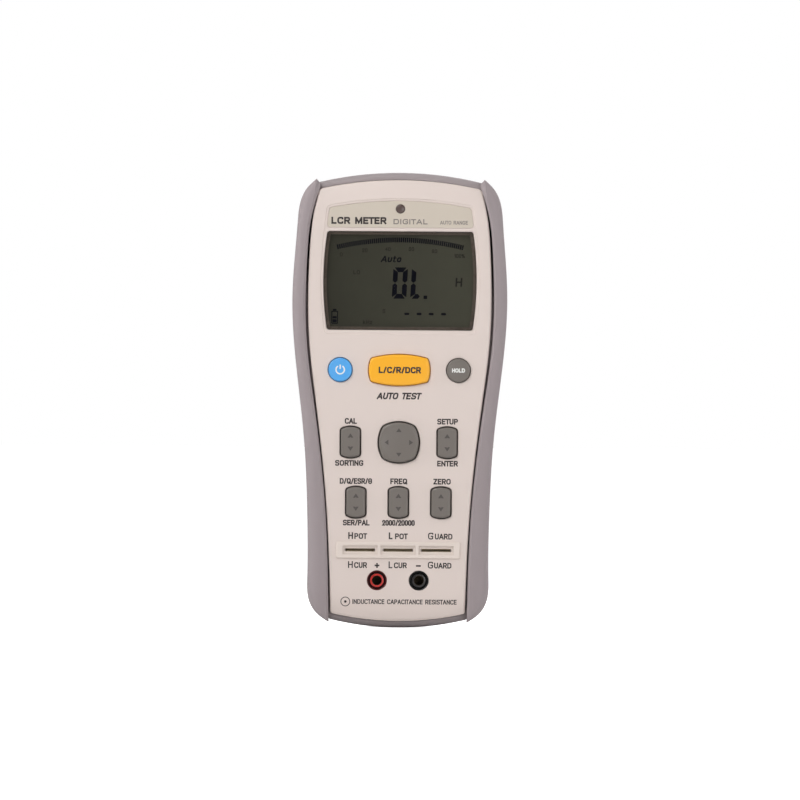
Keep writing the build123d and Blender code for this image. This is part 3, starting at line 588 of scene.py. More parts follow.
# ---------------------------------------------------------------- lettering
# Each capital is as wide as its first number and one high. Its strokes are (rounding, points), with the
# points as fractions of the width and the height; a stroke that ends where it starts is closed.
LOOP = [(0, 0), (1, 0), (1, 1), (0, 1), (0, 0)]
BOWL = [(0, 0), (0, 1), (1, 1), (1, 0.46), (0, 0.46)]
CAPITALS = {
    "A": (0.56, [(0, [(-0.07, 0), (0.46, 0.97)]), (0, [(0.54, 0.97), (1.07, 0)]),
                 (0, [(0.25, 0.3), (0.75, 0.3)])]),
    "C": (0.56, [(0.5, [(1, 0.84), (1, 1), (0, 1), (0, 0), (1, 0), (1, 0.16)])]),
    "D": (0.58, [(0.4, [(0, 0), (1, 0), (1, 1), (0, 1)]), (0, [(0, 0), (0, 1)])]),
    "E": (0.45, [(0, [(1, 1), (0, 1), (0, 0), (1, 0)]), (0, [(0, 0.52), (0.9, 0.52)])]),
    "F": (0.43, [(0, [(1, 1), (0, 1), (0, 0)]), (0, [(0, 0.5), (0.85, 0.5)])]),
    "G": (0.58, [(0.5, [(1, 0.86), (1, 1), (0, 1), (0, 0), (1, 0), (1, 0.4)]),
                 (0, [(1, 0.46), (0.65, 0.46)])]),
    "H": (0.52, [(0, [(0, 0), (0, 1)]), (0, [(1, 0), (1, 1)]), (0, [(0, 0.52), (1, 0.52)])]),
    "I": (0.0, [(0, [(0, 0), (0, 1)])]),
    "L": (0.43, [(0, [(0, 1), (0, 0), (1, 0)])]),
    "M": (0.7, [(0, [(0, 0), (0, 1)]), (0, [(0.07, 0.9), (0.5, 0.1), (0.93, 0.9)]),
                (0, [(1, 0), (1, 1)])]),
    "N": (0.55, [(0, [(0, 0), (0, 1)]), (0, [(0.08, 0.9), (0.92, 0.1)]), (0, [(1, 0), (1, 1)])]),
    "O": (0.6, [(0.7, LOOP)]),
    "P": (0.5, [(0.22, BOWL[1:]), (0, BOWL[:2])]),
    "Q": (0.6, [(0.7, LOOP), (0, [(0.6, 0.25), (1.05, -0.05)])]),
    "R": (0.53, [(0.22, BOWL[1:]), (0, BOWL[:2]), (0, [(0.5, 0.46), (1, 0)])]),
    "S": (0.54, [(0.34, [(1, 0.87), (1, 1), (0, 1), (0, 0.53), (1, 0.5), (1, 0), (0, 0), (0, 0.13)])]),
    "T": (0.36, [(0, [(-0.22, 1), (1.22, 1)]), (0, [(0.5, 0), (0.5, 1)])]),
    "U": (0.53, [(0.42, [(0, 1), (0, 0), (1, 0), (1, 1)])]),
    "Z": (0.5, [(0, [(0, 1), (1, 1)]), (0, [(0.9, 0.92), (0.1, 0.08)]), (0, [(0, 0), (1, 0)])]),
    "u": (0.4, [(0.24, [(0, 0.72), (0, 0), (1, 0), (1, 0.72)])]),
    "t": (0.26, [(0.12, [(0.3, 1), (0.3, 0), (1, 0)]), (0, [(0, 0.7), (1, 0.7)])]),
    "o": (0.42, [(0.28, [(x, z * 0.72) for x, z in LOOP])]),
    "k": (0.4, [(0, [(0, 0), (0, 1)]), (0, [(0.9, 0.72), (0.05, 0.3)]), (0, [(0.35, 0.45), (1, 0)])]),
    "z": (0.36, [(0, [(0, 0.72), (1, 0.72), (0, 0), (1, 0)])]),
    "0": (0.46, [(0.6, LOOP)]),
    "1": (0.2, [(0, [(0, 0.76), (1, 1), (1, 0)])]),
    "2": (0.44, [(0.22, [(0, 0.7), (0, 1), (1, 1), (1, 0.55), (0.2, 0.16)]),
                 (0, [(0.45, 0.3), (0, 0), (1, 0)])]),
    "4": (0.48, [(0, [(0.75, 0), (0.75, 1), (0, 0.3), (1, 0.3)])]),
    "6": (0.44, [(0.22, [(0.95, 0.8), (0.9, 1), (0, 1), (0, 0), (1, 0), (1, 0.56), (0, 0.56)])]),
    "8": (0.44, [(0.2, [(x, z * 0.52) for x, z in LOOP]), (0.2, [(x, 0.52 + z * 0.48) for x, z in LOOP])]),
    "/": (0.3, [(0, [(0, -0.02), (1, 1.02)])]),
    "%": (0.7, [(0, [(0.2, 0), (0.8, 1)]), (0.12, [(x * 0.3, 0.6 + z * 0.4) for x, z in LOOP]),
                (0.12, [(0.7 + x * 0.3, z * 0.4) for x, z in LOOP])]),
    "\u03b8": (0.56, [(0.6, LOOP), (0, [(0, 0.5), (1, 0.5)])]),
    " ": (0.24, []),
}
LETTER_GAP = 0.31


def eased(path, radius, closed, steps=5):
    """A path with its corners rounded."""
    result = []
    for n, here in enumerate(path):
        if not closed and n in (0, len(path) - 1):
            result.append(here)
            continue
        into, out = path[n - 1] - here, path[(n + 1) % len(path)] - here
        cut = min(radius, into.length * 0.49, out.length * 0.49)
        if cut < 1e-6:
            result.append(here)
            continue
        a, b = here + into.normalized() * cut, here + out.normalized() * cut
        for k in range(steps + 1):
            t = k / steps
            result.append(a * (1 - t) ** 2 + here * (2 * t * (1 - t)) + b * t**2)
    return result


def band(path, thick):
    """The outline of a stroke of even thickness along an open path."""
    sides = ([], [])
    for n, here in enumerate(path):
        into = (here - path[n - 1]).normalized() if n else None
        out = (path[n + 1] - here).normalized() if n < len(path) - 1 else into
        into = into or out
        normal = Vector((-into.y - out.y, into.x + out.x)).normalized()
        lean = max(normal.dot(Vector((-into.y, into.x))), 0.4)
        for side, way in zip(sides, (1, -1)):
            side.append(here + normal * (way * thick / 2 / lean))
    return sides[0] + sides[1][::-1]


def lettering(words, place, width, height=2.6, weight=0.58, slant=0.0):
    """Words as stroke outlines centred on a place: pairs of an outline and its hole's outline or None."""
    run = sum(CAPITALS[letter][0] for letter in words) + LETTER_GAP * (len(words) - 1)
    across, up = (width - weight) / run, height - weight
    x, shapes = place[0] - (width - weight) / 2, []
    for letter in words:
        wide, strokes = CAPITALS[letter]
        for rounding, points in strokes:
            closed = points[0] == points[-1]
            path = [Vector((x + px * wide * across + slant * (pz - 0.5) * up, place[1] + (pz - 0.5) * up))
                    for px, pz in (points[:-1] if closed else points)]
            if not closed:
                path[0] = path[0] + (path[0] - path[1]).normalized() * weight / 2
                path[-1] = path[-1] + (path[-1] - path[-2]).normalized() * weight / 2
            path = eased(path, rounding * min(up, across * 1.1), closed)
            outline = grown(path, weight / 2) if closed else band(path, weight)
            shapes.append((outline, grown(path, -weight / 2) if closed else None))
        x += (wide + LETTER_GAP) * across
    return shapes


# ---------------------------------------------------------------- node building
class Wire:
    """A node's output that can be used in sums: its operators add Math nodes."""

    def __init__(self, graph, socket):
        self.graph = graph
        self.socket = socket

    def maths(self, operation, first, second):
        return self.graph.node("ShaderNodeMath", {0: first, 1: second}, operation=operation)

    def __add__(self, other):
        return self.maths("ADD", self, other)

    def __rsub__(self, other):
        return self.maths("SUBTRACT", other, self)

    def __mul__(self, other):
        return self.maths("MULTIPLY", self, other)


class Graph:
    """A node tree in the making."""

    def __init__(self, tree):
        self.tree = tree
        tree.nodes.clear()

    def node(self, kind, sockets=None, out=0, **settings):
        """Adds a node, with its settings first and then its sockets' values or links."""
        made = self.tree.nodes.new(kind)
        for name, value in settings.items():
            setattr(made, name, value)
        for name, value in (sockets or {}).items():
            if isinstance(value, Wire):
                self.tree.links.new(value.socket, made.inputs[name])
            else:
                made.inputs[name].default_value = value
        return Wire(self, made.outputs[out]) if made.outputs else None


class Recipe(Graph):
    """A material in the making."""

    def __init__(self, name):
        self.material = bpy.data.materials.new(name)
        self.material.use_nodes = True
        super().__init__(self.material.node_tree)

    def place(self):
        return self.node("ShaderNodeTexCoord", out="Object")

    def noise(self, size, detail=2.0, stretch=None):
        """Noise whose blots are about size millimetres across, 0 to 1."""
        where = self.place()
        if stretch:
            where = self.node("ShaderNodeMapping", {"Vector": where, "Scale": stretch})
        return self.node("ShaderNodeTexNoise", {"Vector": where, "Scale": 1 / (size * MM), "Detail": detail})

    def bump(self, height, distance, strength=1.0):
        sockets = {"Height": height, "Distance": distance * MM, "Strength": strength}
        return self.node("ShaderNodeBump", sockets)

    def principled(self, **sockets):
        names = {name.replace("_", " ").title().replace("Ior", "IOR"): name for name in sockets}
        return self.node("ShaderNodeBsdfPrincipled", {title: sockets[name] for title, name in names.items()})

    def surface(self, shader):
        self.node("ShaderNodeOutputMaterial", {"Surface": shader})
        return self.material

    def coloured(self, colour, shade, **sockets):
        """A principled surface whose colour a wire makes lighter or darker."""
        tint = self.node("ShaderNodeVectorMath", {0: tuple(colour), "Scale": shade}, operation="SCALE")
        return self.surface(self.principled(base_color=tint, **sockets))


def rgba(*colour):
    return (*colour, 1.0)


def moulded(name, colour, roughness=0.5, grain=0.45, depth=0.006, mottle=0.02, coat=0.0):
    """Moulded plastic: a fine spark-eroded grain over faint broad mottling, which is partly random tone and
    partly painted reflection.
    """
    recipe = Recipe(name)
    fine, mottle_and_reflection = recipe.noise(grain, 3.0), recipe.noise(22.0)
    # the broad blotches vary the tone at random and also stand in as painted reflections
    return recipe.coloured(
        colour, mottle_and_reflection * (2 * mottle) + (1 - mottle), roughness=fine * 0.14 + (roughness - 0.07),
        normal=recipe.bump(fine, depth), coat_weight=coat)


def rubbery(name, colour, roughness=0.72):
    """Soft-touch rubber: a close pebbled grain, with faint handling marks."""
    recipe = Recipe(name)
    pebbles = recipe.node("ShaderNodeTexVoronoi", {"Vector": recipe.place(), "Scale": 1 / (0.55 * MM)})
    handled = recipe.noise(30.0, 4.0)
    return recipe.coloured(
        colour, handled * 0.05 + pebbles * 0.03 + 0.955, roughness=roughness - handled * 0.12,
        normal=recipe.bump(pebbles, 0.012, 0.6))


def glossy(name, colour, roughness=0.18, mottle=0.03):
    """Polished or lacquered plastic with a faint orange peel."""
    recipe = Recipe(name)
    peel = recipe.noise(2.2)
    return recipe.coloured(
        colour, peel * (2 * mottle) + (1 - mottle), roughness=peel * 0.08 + (roughness - 0.04),
        normal=recipe.bump(peel, 0.01), coat_weight=0.3)


def metal(name, colour, roughness=0.32, stretch=(1.0, 1.0, 14.0)):
    """Plated or drawn metal with fine lines along it."""
    recipe = Recipe(name)
    lines, blots = recipe.noise(0.8, 3.0, stretch), recipe.noise(3.0)
    return recipe.coloured(
        colour, blots * 0.16 + 0.9, metallic=1.0, roughness=lines * 0.18 + (roughness - 0.09),
        normal=recipe.bump(lines, 0.004))


def printed(name, colour, roughness=0.55, shine=0.5):
    """Pad-printed ink, a little uneven in cover."""
    recipe = Recipe(name)
    cover = recipe.noise(0.5, 3.0)
    return recipe.coloured(colour, cover * 0.2 + 0.9, roughness=cover * 0.1 + (roughness - 0.05),
                           specular_ior_level=shine)


def display_glass(name, colour):
    """Polarised display glass: olive, with a painted reflection that makes it a little lighter towards the
    right.
    """
    recipe = Recipe(name)
    across = recipe.node("ShaderNodeSeparateXYZ", {0: recipe.place()})
    # painted reflection: the colour grows lighter towards the right across the glass
    return recipe.coloured(colour, across * (0.22 / 0.033) + recipe.noise(16.0) * 0.06 + 0.95, roughness=0.5,
                           specular_ior_level=0.15)


def clear(name):
    """A clear window: a polished face over what shows through it, with faint smears."""
    recipe = Recipe(name)
    through = recipe.node("ShaderNodeBsdfTransparent", {"Color": rgba(0.93, 0.93, 0.92)})
    face = recipe.principled(base_color=rgba(*paint(8, 8, 8)), roughness=0.03)
    slant = recipe.node("ShaderNodeLayerWeight", {"Blend": 0.5}, out="Facing")
    share = slant.maths("POWER", slant, 5.0) * 0.9 + recipe.noise(9.0, 4.0) * 0.008 + 0.03
    return recipe.surface(recipe.node("ShaderNodeMixShader", {0: share, 1: through, 2: face}))


def circuit_board(name):
    """Solder mask over copper tracks."""
    recipe = Recipe(name)
    flat = recipe.node("ShaderNodeMapping", {"Vector": recipe.place(), "Rotation": (math.pi / 2, 0, 0)})
    tracks = recipe.node("ShaderNodeTexBrick", {
        "Vector": flat, "Scale": 1 / (9 * MM), "Mortar Size": 0.035, "Bias": 0.0}, out="Fac", offset=0.37)
    mask = recipe.node("ShaderNodeMix", {
        0: tracks, 6: rgba(*paint(20, 84, 48)), 7: rgba(*paint(52, 128, 70))}, out=2, data_type="RGBA")
    return recipe.surface(recipe.principled(
        base_color=mask, roughness=recipe.noise(1.5) * 0.1 + 0.25, normal=recipe.bump(tracks, 0.03)))


FINISHES = {  # slot: recipe, name, then a display colour or a colour setting, and what else the recipe takes
    "cover_white": (moulded, "Cover", "cover", 0.46, 0.5, 0.006, 0.012),
    "case_grey": (moulded, "Rear housing", "case", 0.55, 0.6, 0.012, 0.02),
    "grip_grey": (rubbery, "Grip", "grip"),
    "lens_clear": (clear, "Window"),
    "mask_brown": (printed, "Window border", "mask", 0.5, 0.15),
    "plate_beige": (moulded, "Name plate", "plate", 0.5, 0.3, 0.002, 0.01),
    "lamp_smoke": (glossy, "Lamp lens", (84, 68, 64), 0.35),
    "led_body": (glossy, "Lamp body", (214, 96, 82), 0.15),
    "lcd_olive": (display_glass, "Display glass", "lcd"),
    "frame_black": (moulded, "Display frame", (34, 33, 34)),
    "reflector_white": (moulded, "Reflector", (226, 226, 220), 0.4),
    "strip_rubber": (rubbery, "Contact strip", (150, 96, 118)),
    "key_blue": (moulded, "Blue key", "blue_key", 0.38, 0.5, 0.004, 0.015, 0.15),
    "key_yellow": (moulded, "Yellow key", "yellow_key", 0.4, 0.5, 0.004, 0.015, 0.15),
    "key_grey": (moulded, "Grey key", "grey_key", 0.42, 0.5, 0.004, 0.02, 0.1),
    "pivot_nylon": (glossy, "Nylon", (228, 226, 214), 0.35),
    "mat_silicone": (rubbery, "Silicone mat", (176, 176, 170), 0.6),
    "socket_cream": (moulded, "Socket block", (228, 215, 206), 0.42, 0.5, 0.004, 0.01),
    "contact_nickel": (metal, "Nickel", (134, 122, 102), 0.42),
    "jack_red": (glossy, "Red jack", "red_jack", 0.3),
    "jack_black": (glossy, "Black jack", (46, 43, 43), 0.3),
    # The shrouds take the jacks' own red and black, darkened as painted shade for the ring recessed round
    # each collar.
    "shroud_red": (glossy, "Red shroud", (98, 22, 26), 0.35),
    "shroud_black": (glossy, "Black shroud", (26, 24, 24), 0.35),
    # Plated brass, its colour darkened as painted shade deep in the jacks' bores.
    "sleeve_brass": (metal, "Plated brass", (92, 82, 68), 0.5, (1.0, 14.0, 1.0)),
    "board_green": (circuit_board, "Circuit board"),
    "chip_black": (moulded, "Chip", (38, 38, 40), 0.5, 0.2),
    "buzzer_black": (moulded, "Buzzer", (30, 30, 30), 0.45),
    "crystal_steel": (metal, "Crystal can", (190, 188, 184), 0.25, (14.0, 1.0, 1.0)),
    "capacitor_sleeve": (glossy, "Capacitor sleeve", (44, 52, 96), 0.3),
    "fuse_glass": (glossy, "Fuse glass", (196, 204, 200), 0.08),
    "battery_case": (glossy, "Battery case", (58, 60, 66), 0.3),
    "snap_black": (rubbery, "Battery snap", (34, 34, 34), 0.6),
    "lead_red": (glossy, "Lead sleeve", (176, 34, 28), 0.35),
    "screw_steel": (metal, "Zinc plate", (188, 186, 178), 0.34, (3.0, 3.0, 3.0)),
    "stand_grey": (moulded, "Stand", (146, 136, 137), 0.5, 0.6, 0.01),
    "foot_rubber": (rubbery, "Foot rubber", (52, 50, 50), 0.7),
    "label_silver": (metal, "Rear label", (176, 176, 174), 0.4, (0.3, 1.0, 30.0)),
    "ink": (printed, "Legend ink", "ink"),
    "grey_ink": (printed, "Grey ink", (132, 124, 120)),
    "white_ink": (printed, "White ink", (238, 238, 234)),
    # The keys' arrows are engraved; their dark finish is painted shade of the engraving, drawn as a raised
    # sheet.
    "key_ink": (printed, "Key arrows", (82, 77, 74)),
    "segment": (printed, "Display segment", "segment", 0.5, 0.1),
    "faint_segment": (printed, "Faint segment", (40, 39, 36), 0.5, 0.1),
}


@functools.cache
def finish(slot):
    """The finish of a material slot, made when it is first asked for."""
    recipe, name, *values = FINISHES[slot]
    if values:
        colour, *values = values
        setting = isinstance(colour, str)
        values = [getattr(bpy.context.scene.meter_colours, colour) if setting else paint(*colour), *values]
    return recipe(name, *values)


# ---------------------------------------------------------------- operators
class MeterOperator:
    bl_options = {"REGISTER", "UNDO"}

    def mm(self, setting):
        return getattr(bpy.context.scene.meter_sizes, setting) / MM


class METER_OT_cover(MeterOperator, bpy.types.Operator):
    """Front cover: skin with its openings, stepped display surround and side walls"""
    bl_idname = "meter.cover"
    bl_label = "Front cover"

    def execute(self, context):
        edge, opening = self.mm("cover_edge"), self.mm("opening_edge")
        gap, rock_gap = self.mm("key_gap"), self.mm("rocker_gap")
        holes = [bezel_outline()]
        holes += [moved(ring(ROUND_KEY_R + gap), place) for place in (POWER, HOLD)]
        holes += [moved(grown(AUTO_OUTLINE, gap), AUTO), moved(grown(NAV_OUTLINE, rock_gap), NAV)]
        holes += [moved(grown(ROCKER_OUTLINE, rock_gap), at(node)) for node in ROCKERS]
        holes += [moved(boxed(26.6, 2.6, 0.2), SOCKET)]
        holes += [moved(ring(JACK_HOLE_R), place) for place in JACKS.values()]

        # a staggered grid near both ends, where the skin rolls back
        rows = [COVER_TOP_Z - n for n in range(2, 24)] + [COVER_BOTTOM_Z + n for n in range(2, 20)]
        grid = [Vector((3.0 * n + 1.5 * (m % 2), z)) for m, z in enumerate(rows) for n in range(-13, 14)]
        inset = grown(cover_outline(), -edge - 0.4)
        grid = [p for p in grid if inside(p, inset)]

        label, window = label_outline(), window_outline()
        shape = Shape()
        shape.plate(cover_outline(), FACE_Y, SKIN_BACK_Y, holes, edge, opening, grid, roll)
        shape.plate(grown(bezel_outline(), 1.0), BEZEL_Y, SKIN_BACK_Y - 0.1,
                    [grown(label, 0.15), grown(window, 0.15)], hole_edge=0.2)
        shape.plate(grown(label, 1.0), BEZEL_Y + 0.3, SKIN_BACK_Y - 0.2, [moved(ring(LAMP_HOLE_R), LAMP)])
        shape.plate(grown(window, 1.6), SKIN_BACK_Y - 0.2, LCD_Y - 0.1, [window_outline(-1.4)])
        shape.plate(cover_outline(-0.02), SKIN_BACK_Y - 0.6, COVER_BACK_Y, [cover_outline(-2.2)])
        shape.piece("cover_shell", "case", "cover_white", "front_cover")
        return {"FINISHED"}


class METER_OT_grips(MeterOperator, bpy.types.Operator):
    """Side grips: a soft channel down each side, pointed at both ends"""
    bl_idname = "meter.grips"
    bl_label = "Side grips"

    def execute(self, context):
        outer = smooth_line(GRIP_SIDE, 240)
        inner = [outer[0]] + smooth_line(GROOVE_SIDE, 160) + [outer[-1]]
        hug = smooth_line(CASE_SIDE, 160)
        top, bottom = outer[0].y, outer[-1].y

        def across(line, z):
            """The line's x where it passes a height; both run downwards."""
            for a, b in zip(line, line[1:]):
                if a.y >= z >= b.y and a.y > b.y:
                    return a.x + (b.x - a.x) * (a.y - z) / (a.y - b.y)
            return line[0].x if z > line[0].y else line[-1].x

        count = 150
        sections = []
        for n in range(count + 1):
            z = (top + bottom) / 2 + (top - bottom) / 2 * math.cos(math.pi * (0.004 + 0.992 * n / count))
            x0, x1 = across(inner, z), across(outer, z)
            width = x1 - x0
            wall = min(max(across(hug, z) + 0.1, x0 + 0.05), x1 - 0.15 * width)
            from_tip = min(top - z, z - bottom)
            run_in = min(1.0, max(0.0, (from_tip - 3.0) / 6.0))
            lip = max(min(across(hug, z) - 4.4, wall - 0.1), x0 + 0.03 - 2.0 * run_in)
            tuck = 1.1 * max(0.0, 1 - from_tip / 5.0) ** 2
            shoulder = min(self.mm("grip_shoulder"), 0.62 * width)
            flare = max(0.0, 1 - (top - z) / 11.0) ** 1.6
            bevel = min(self.mm("grip_bevel") + 2.4 * flare, 0.55 * width)
            heel = max(0.0, 1 - from_tip / GRIP_HEEL_R)
            front, back = GRIP_FRONT_Y + tuck, GRIP_BACK_Y - GRIP_HEEL_R * (1 - math.sqrt(1 - heel**2))
            seat = min(CASE_BACK_Y + 0.05, back - 0.3)
            corners = [
                (x0, RIM_Y - 0.1), (x0, front + 0.8 + 1.6 * flare), (x0 + bevel, front + 0.05), (x1, front),
                (x1, back), (lip, back), (lip, seat), (wall, seat), (wall, RIM_Y - 0.1)]
            small = min(0.25, 0.05 * width)
            radii = [0.0, small, small, shoulder, shoulder * 0.8, small, 0.0, 0.0, 0.0]
            line = cornered([Vector(c) for c in corners], radii, 7)
            sections.append([(p.x, p.y, z) for p in line])
        for name, node, flip in (("grip_right", "right_grip", False), ("grip_left", "left_grip", True)):
            shape = Shape().loft(sections)
            if flip:
                shape.mirror()
            shape.piece(name, "case", "grip_grey", node, sharp=40.0)
        return {"FINISHED"}


class METER_OT_window(MeterOperator, bpy.types.Operator):
    """Display window, its printed border, the name plate and the status lamp"""
    bl_idname = "meter.window"
    bl_label = "Display window"

    def execute(self, context):
        window = window_outline()
        lens = Shape().plate(window, LENS_Y, high("display_lens").y, edge=0.35)
        lens.piece("window_lens", "case", "lens_clear", "display_lens")
        mask_y = low("window_mask").y
        mask = Shape().plate(grown(window, -0.02), mask_y, mask_y + 0.1, [window_outline(-1.45)])
        mask.piece("window_border", "case", "mask_brown", "window_mask")
        hole = moved(ring(LAMP_HOLE_R), LAMP)
        plate = Shape().plate(label_outline(), BEZEL_Y, BEZEL_Y + 0.3, [hole], 0.12, 0.08)
        plate.piece("name_inset", "case", "plate_beige", "name_plate")
        dome_r = 2.1
        dome = Shape().cap(ring(dome_r), LAMP, low("lamp_lens").y + 0.1, FACE_Y + 2.3, 0.3,
                           lambda x, z: 0.35 * (1 - (x * x + z * z) / dome_r**2))
        dome.piece("lamp_dome", "case", "lamp_smoke", "lamp_lens")
        return {"FINISHED"}


def segment_bar(start, end, thick, mitres=(0, 0)):
    """A display segment: each end is pointed, or mitred with its long edge on the left (1) or right (-1)."""
    a, b = Vector(start), Vector(end)
    along = (b - a).normalized()
    side = Vector((-along.y, along.x)) * thick / 2
    corners = []
    for here, into, left, mitre in ((a, along, side, mitres[0]), (b, -along, -side, -mitres[1])):
        if mitre:
            long, short = here - into * thick * 0.22, here + into * thick * 0.46
            corners += [(long if mitre > 0 else short) + left, (short if mitre > 0 else long) - left]
        else:
            tip = into * min(thick * 0.42, (b - a).length * 0.4)
            corners += [here + tip + left, here, here + tip - left]
    return corners


def bar_graph_tree():
    """Geometry nodes: bars stood across an arc, at even steps."""
    tree = bpy.data.node_groups.new("Bar graph", "GeometryNodeTree")
    tree.interface.new_socket("Geometry", in_out="OUTPUT", socket_type="NodeSocketGeometry")
    for kind, names in (("Float", ("Radius", "Sweep", "Bar width", "Bar height", "Bar depth")),
                        ("Int", ("Bars",)), ("Material", ("Finish",))):
        for name in names:
            tree.interface.new_socket(name, in_out="INPUT", socket_type=f"NodeSocket{kind}")
    graph = Graph(tree)

    def given(name):
        return graph.node("NodeGroupInput", out=name)

    start = graph.node("ShaderNodeMath", {0: given("Sweep"), 1: -0.5, 2: math.pi / 2},
                       operation="MULTIPLY_ADD")
    arc = graph.node("GeometryNodeCurveArc", {
        "Resolution": 96, "Start Angle": start, "Sweep Angle": given("Sweep"), "Radius": given("Radius")})
    points = graph.node("GeometryNodeCurveToPoints", {"Curve": arc, "Count": given("Bars")})
    size = graph.node("ShaderNodeCombineXYZ", {
        n: given(name) for n, name in enumerate(("Bar height", "Bar depth", "Bar width"))})
    bars = graph.node("GeometryNodeInstanceOnPoints", {
        "Points": points, "Instance": graph.node("GeometryNodeMeshCube", {"Size": size}),
        "Rotation": Wire(graph, points.socket.node.outputs["Rotation"])})
    real = graph.node("GeometryNodeRealizeInstances", {"Geometry": bars})
    coated = graph.node("GeometryNodeSetMaterial", {"Geometry": real, "Material": given("Finish")})
    graph.node("NodeGroupOutput", {"Geometry": coated})
    return tree


def grown_mesh(tree, values, name):
    """Runs a tree on an empty mesh with the named inputs and returns the result as a plain mesh."""
    holder = bpy.data.objects.new(name, bpy.data.meshes.new(name))
    bpy.context.scene.collection.objects.link(holder)
    modifier = holder.modifiers.new(name, "NODES")
    modifier.node_group = tree
    keys = {item.name: item.identifier for item in tree.interface.items_tree if item.in_out == "INPUT"}
    for key, value in values.items():
        modifier[keys[key]] = value
    graph = bpy.context.evaluated_depsgraph_get()
    data = bpy.data.meshes.new_from_object(holder.evaluated_get(graph), depsgraph=graph)
    bpy.data.objects.remove(holder)
    return data


class METER_OT_readout(MeterOperator, bpy.types.Operator):
    """What the display shows: bar graph, digits and small signs"""
    bl_idname = "meter.readout"
    bl_label = "Readout"

    def execute(self, context):
        front = LCD_Y - 0.03
        half_span, end_z, crown_z = 28.4, 173.1, 176.4
        rise = crown_z - end_z
        radius = (half_span**2 + rise**2) / (2 * rise)
        data = grown_mesh(bar_graph_tree(), {
            "Radius": radius * MM, "Sweep": 2 * math.asin(half_span / radius), "Bars": 62,
            "Bar width": 0.66 * MM, "Bar height": 2.2 * MM, "Bar depth": SEGMENT_DEPTH * MM,
            "Finish": finish("segment")}, "bar_graph")
        data.transform(Matrix.Translation((0, front * MM, (crown_z - radius) * MM))
                       @ Matrix.Rotation(math.pi / 2, 4, "X"))
        settle(dressed(data, "bar_graph", finish("segment"), weighted=False), "case", "lcd_olive")

        low_z, high_z, thick, lean = 149.7, 163.9, 2.15, 0.05
        mid_z = (low_z + high_z) / 2
        bars = []
        for left, right, lit in ((-3.7, 2.9, "abcdef"), (4.7, 10.2, "def")):
            x0, x1 = left + thick / 2, right - thick / 2
            z0, z1 = low_z + thick / 2, high_z - thick / 2
            last = 1 if "c" in lit else 0
            runs = {"a": ((x1, z1), (x0, z1), (-1, -1)), "b": ((x1, mid_z), (x1, z1), (0, -1)),
                    "c": ((x1, z0), (x1, mid_z), (-1, 0)), "d": ((x0, z0), (x1, z0), (-1, -last)),
                    "e": ((x0, mid_z), (x0, z0), (0, -1)), "f": ((x0, z1), (x0, mid_z), (-1, 0))}
            for name in lit:
                a, b, mitres = runs[name]
                back = (Vector(b) - Vector(a)).normalized() * 0.1
                bars.append(segment_bar(Vector(a) + back, Vector(b) - back, thick, mitres))
        bars = [[Vector((p.x + lean * (p.y - low_z), p.y)) for p in bar] for bar in bars]
        bars.append(moved(boxed(0.8, 0.75, 0.2), (11.6, low_z + 0.7)))
        bars += [segment_bar((x - 1.25, 142.8), (x + 1.25, 142.8), 1.05) for x in (3.2, 8.8, 14.3, 19.9)]
        cell = (-29.6, 141.0)
        frame_line = (moved(boxed(1.5, 2.9, 0.2), cell), moved(boxed(1.1, 2.5, 0.1), cell))
        bars += [moved(boxed(0.8, 0.4, 0.1), (cell[0], cell[1] + 3.4)), moved(boxed(0.9, 0.5, 0.1), cell),
                 moved(boxed(0.9, 0.7, 0.1), (cell[0], cell[1] - 1.6))]
        dark = Shape().marks([(bar, None) for bar in bars] + [frame_line], front, SEGMENT_DEPTH)
        dark.marks(lettering("Auto", (-3.9, 167.7), 9.0, 2.9, 0.55, 0.25), front, SEGMENT_DEPTH)
        dark.piece("digits", "case", "lcd_olive", look="segment", weighted=False)

        signs = [("H", (26.8, 157.3), 3.0, 4.0, 0.7, 0.05)]
        signs += [(words, place, 1.15 * len(words) + 0.1, 1.7, 0.26) for words, place in (
            ("0", (-26.8, 169.7)), ("20", (-16.1, 171.6)), ("40", (-5.6, 172.2)), ("60", (5.1, 172.3)),
            ("80", (15.6, 171.4)), ("100%", (27.0, 169.3)))]
        signs += [(words, place, width, 1.8, 0.3) for words, place, width in (
            ("LO", (-19.7, 161.6), 3.0), ("S", (-7.2, 144.0), 1.3), ("kHz", (-14.6, 138.9), 4.2))]
        faint = Shape()
        for sign in signs:
            faint.marks(lettering(*sign), front, SEGMENT_DEPTH)
        faint.piece("faint_signs", "case", "lcd_olive", look="faint_segment", weighted=False)
        return {"FINISHED"}


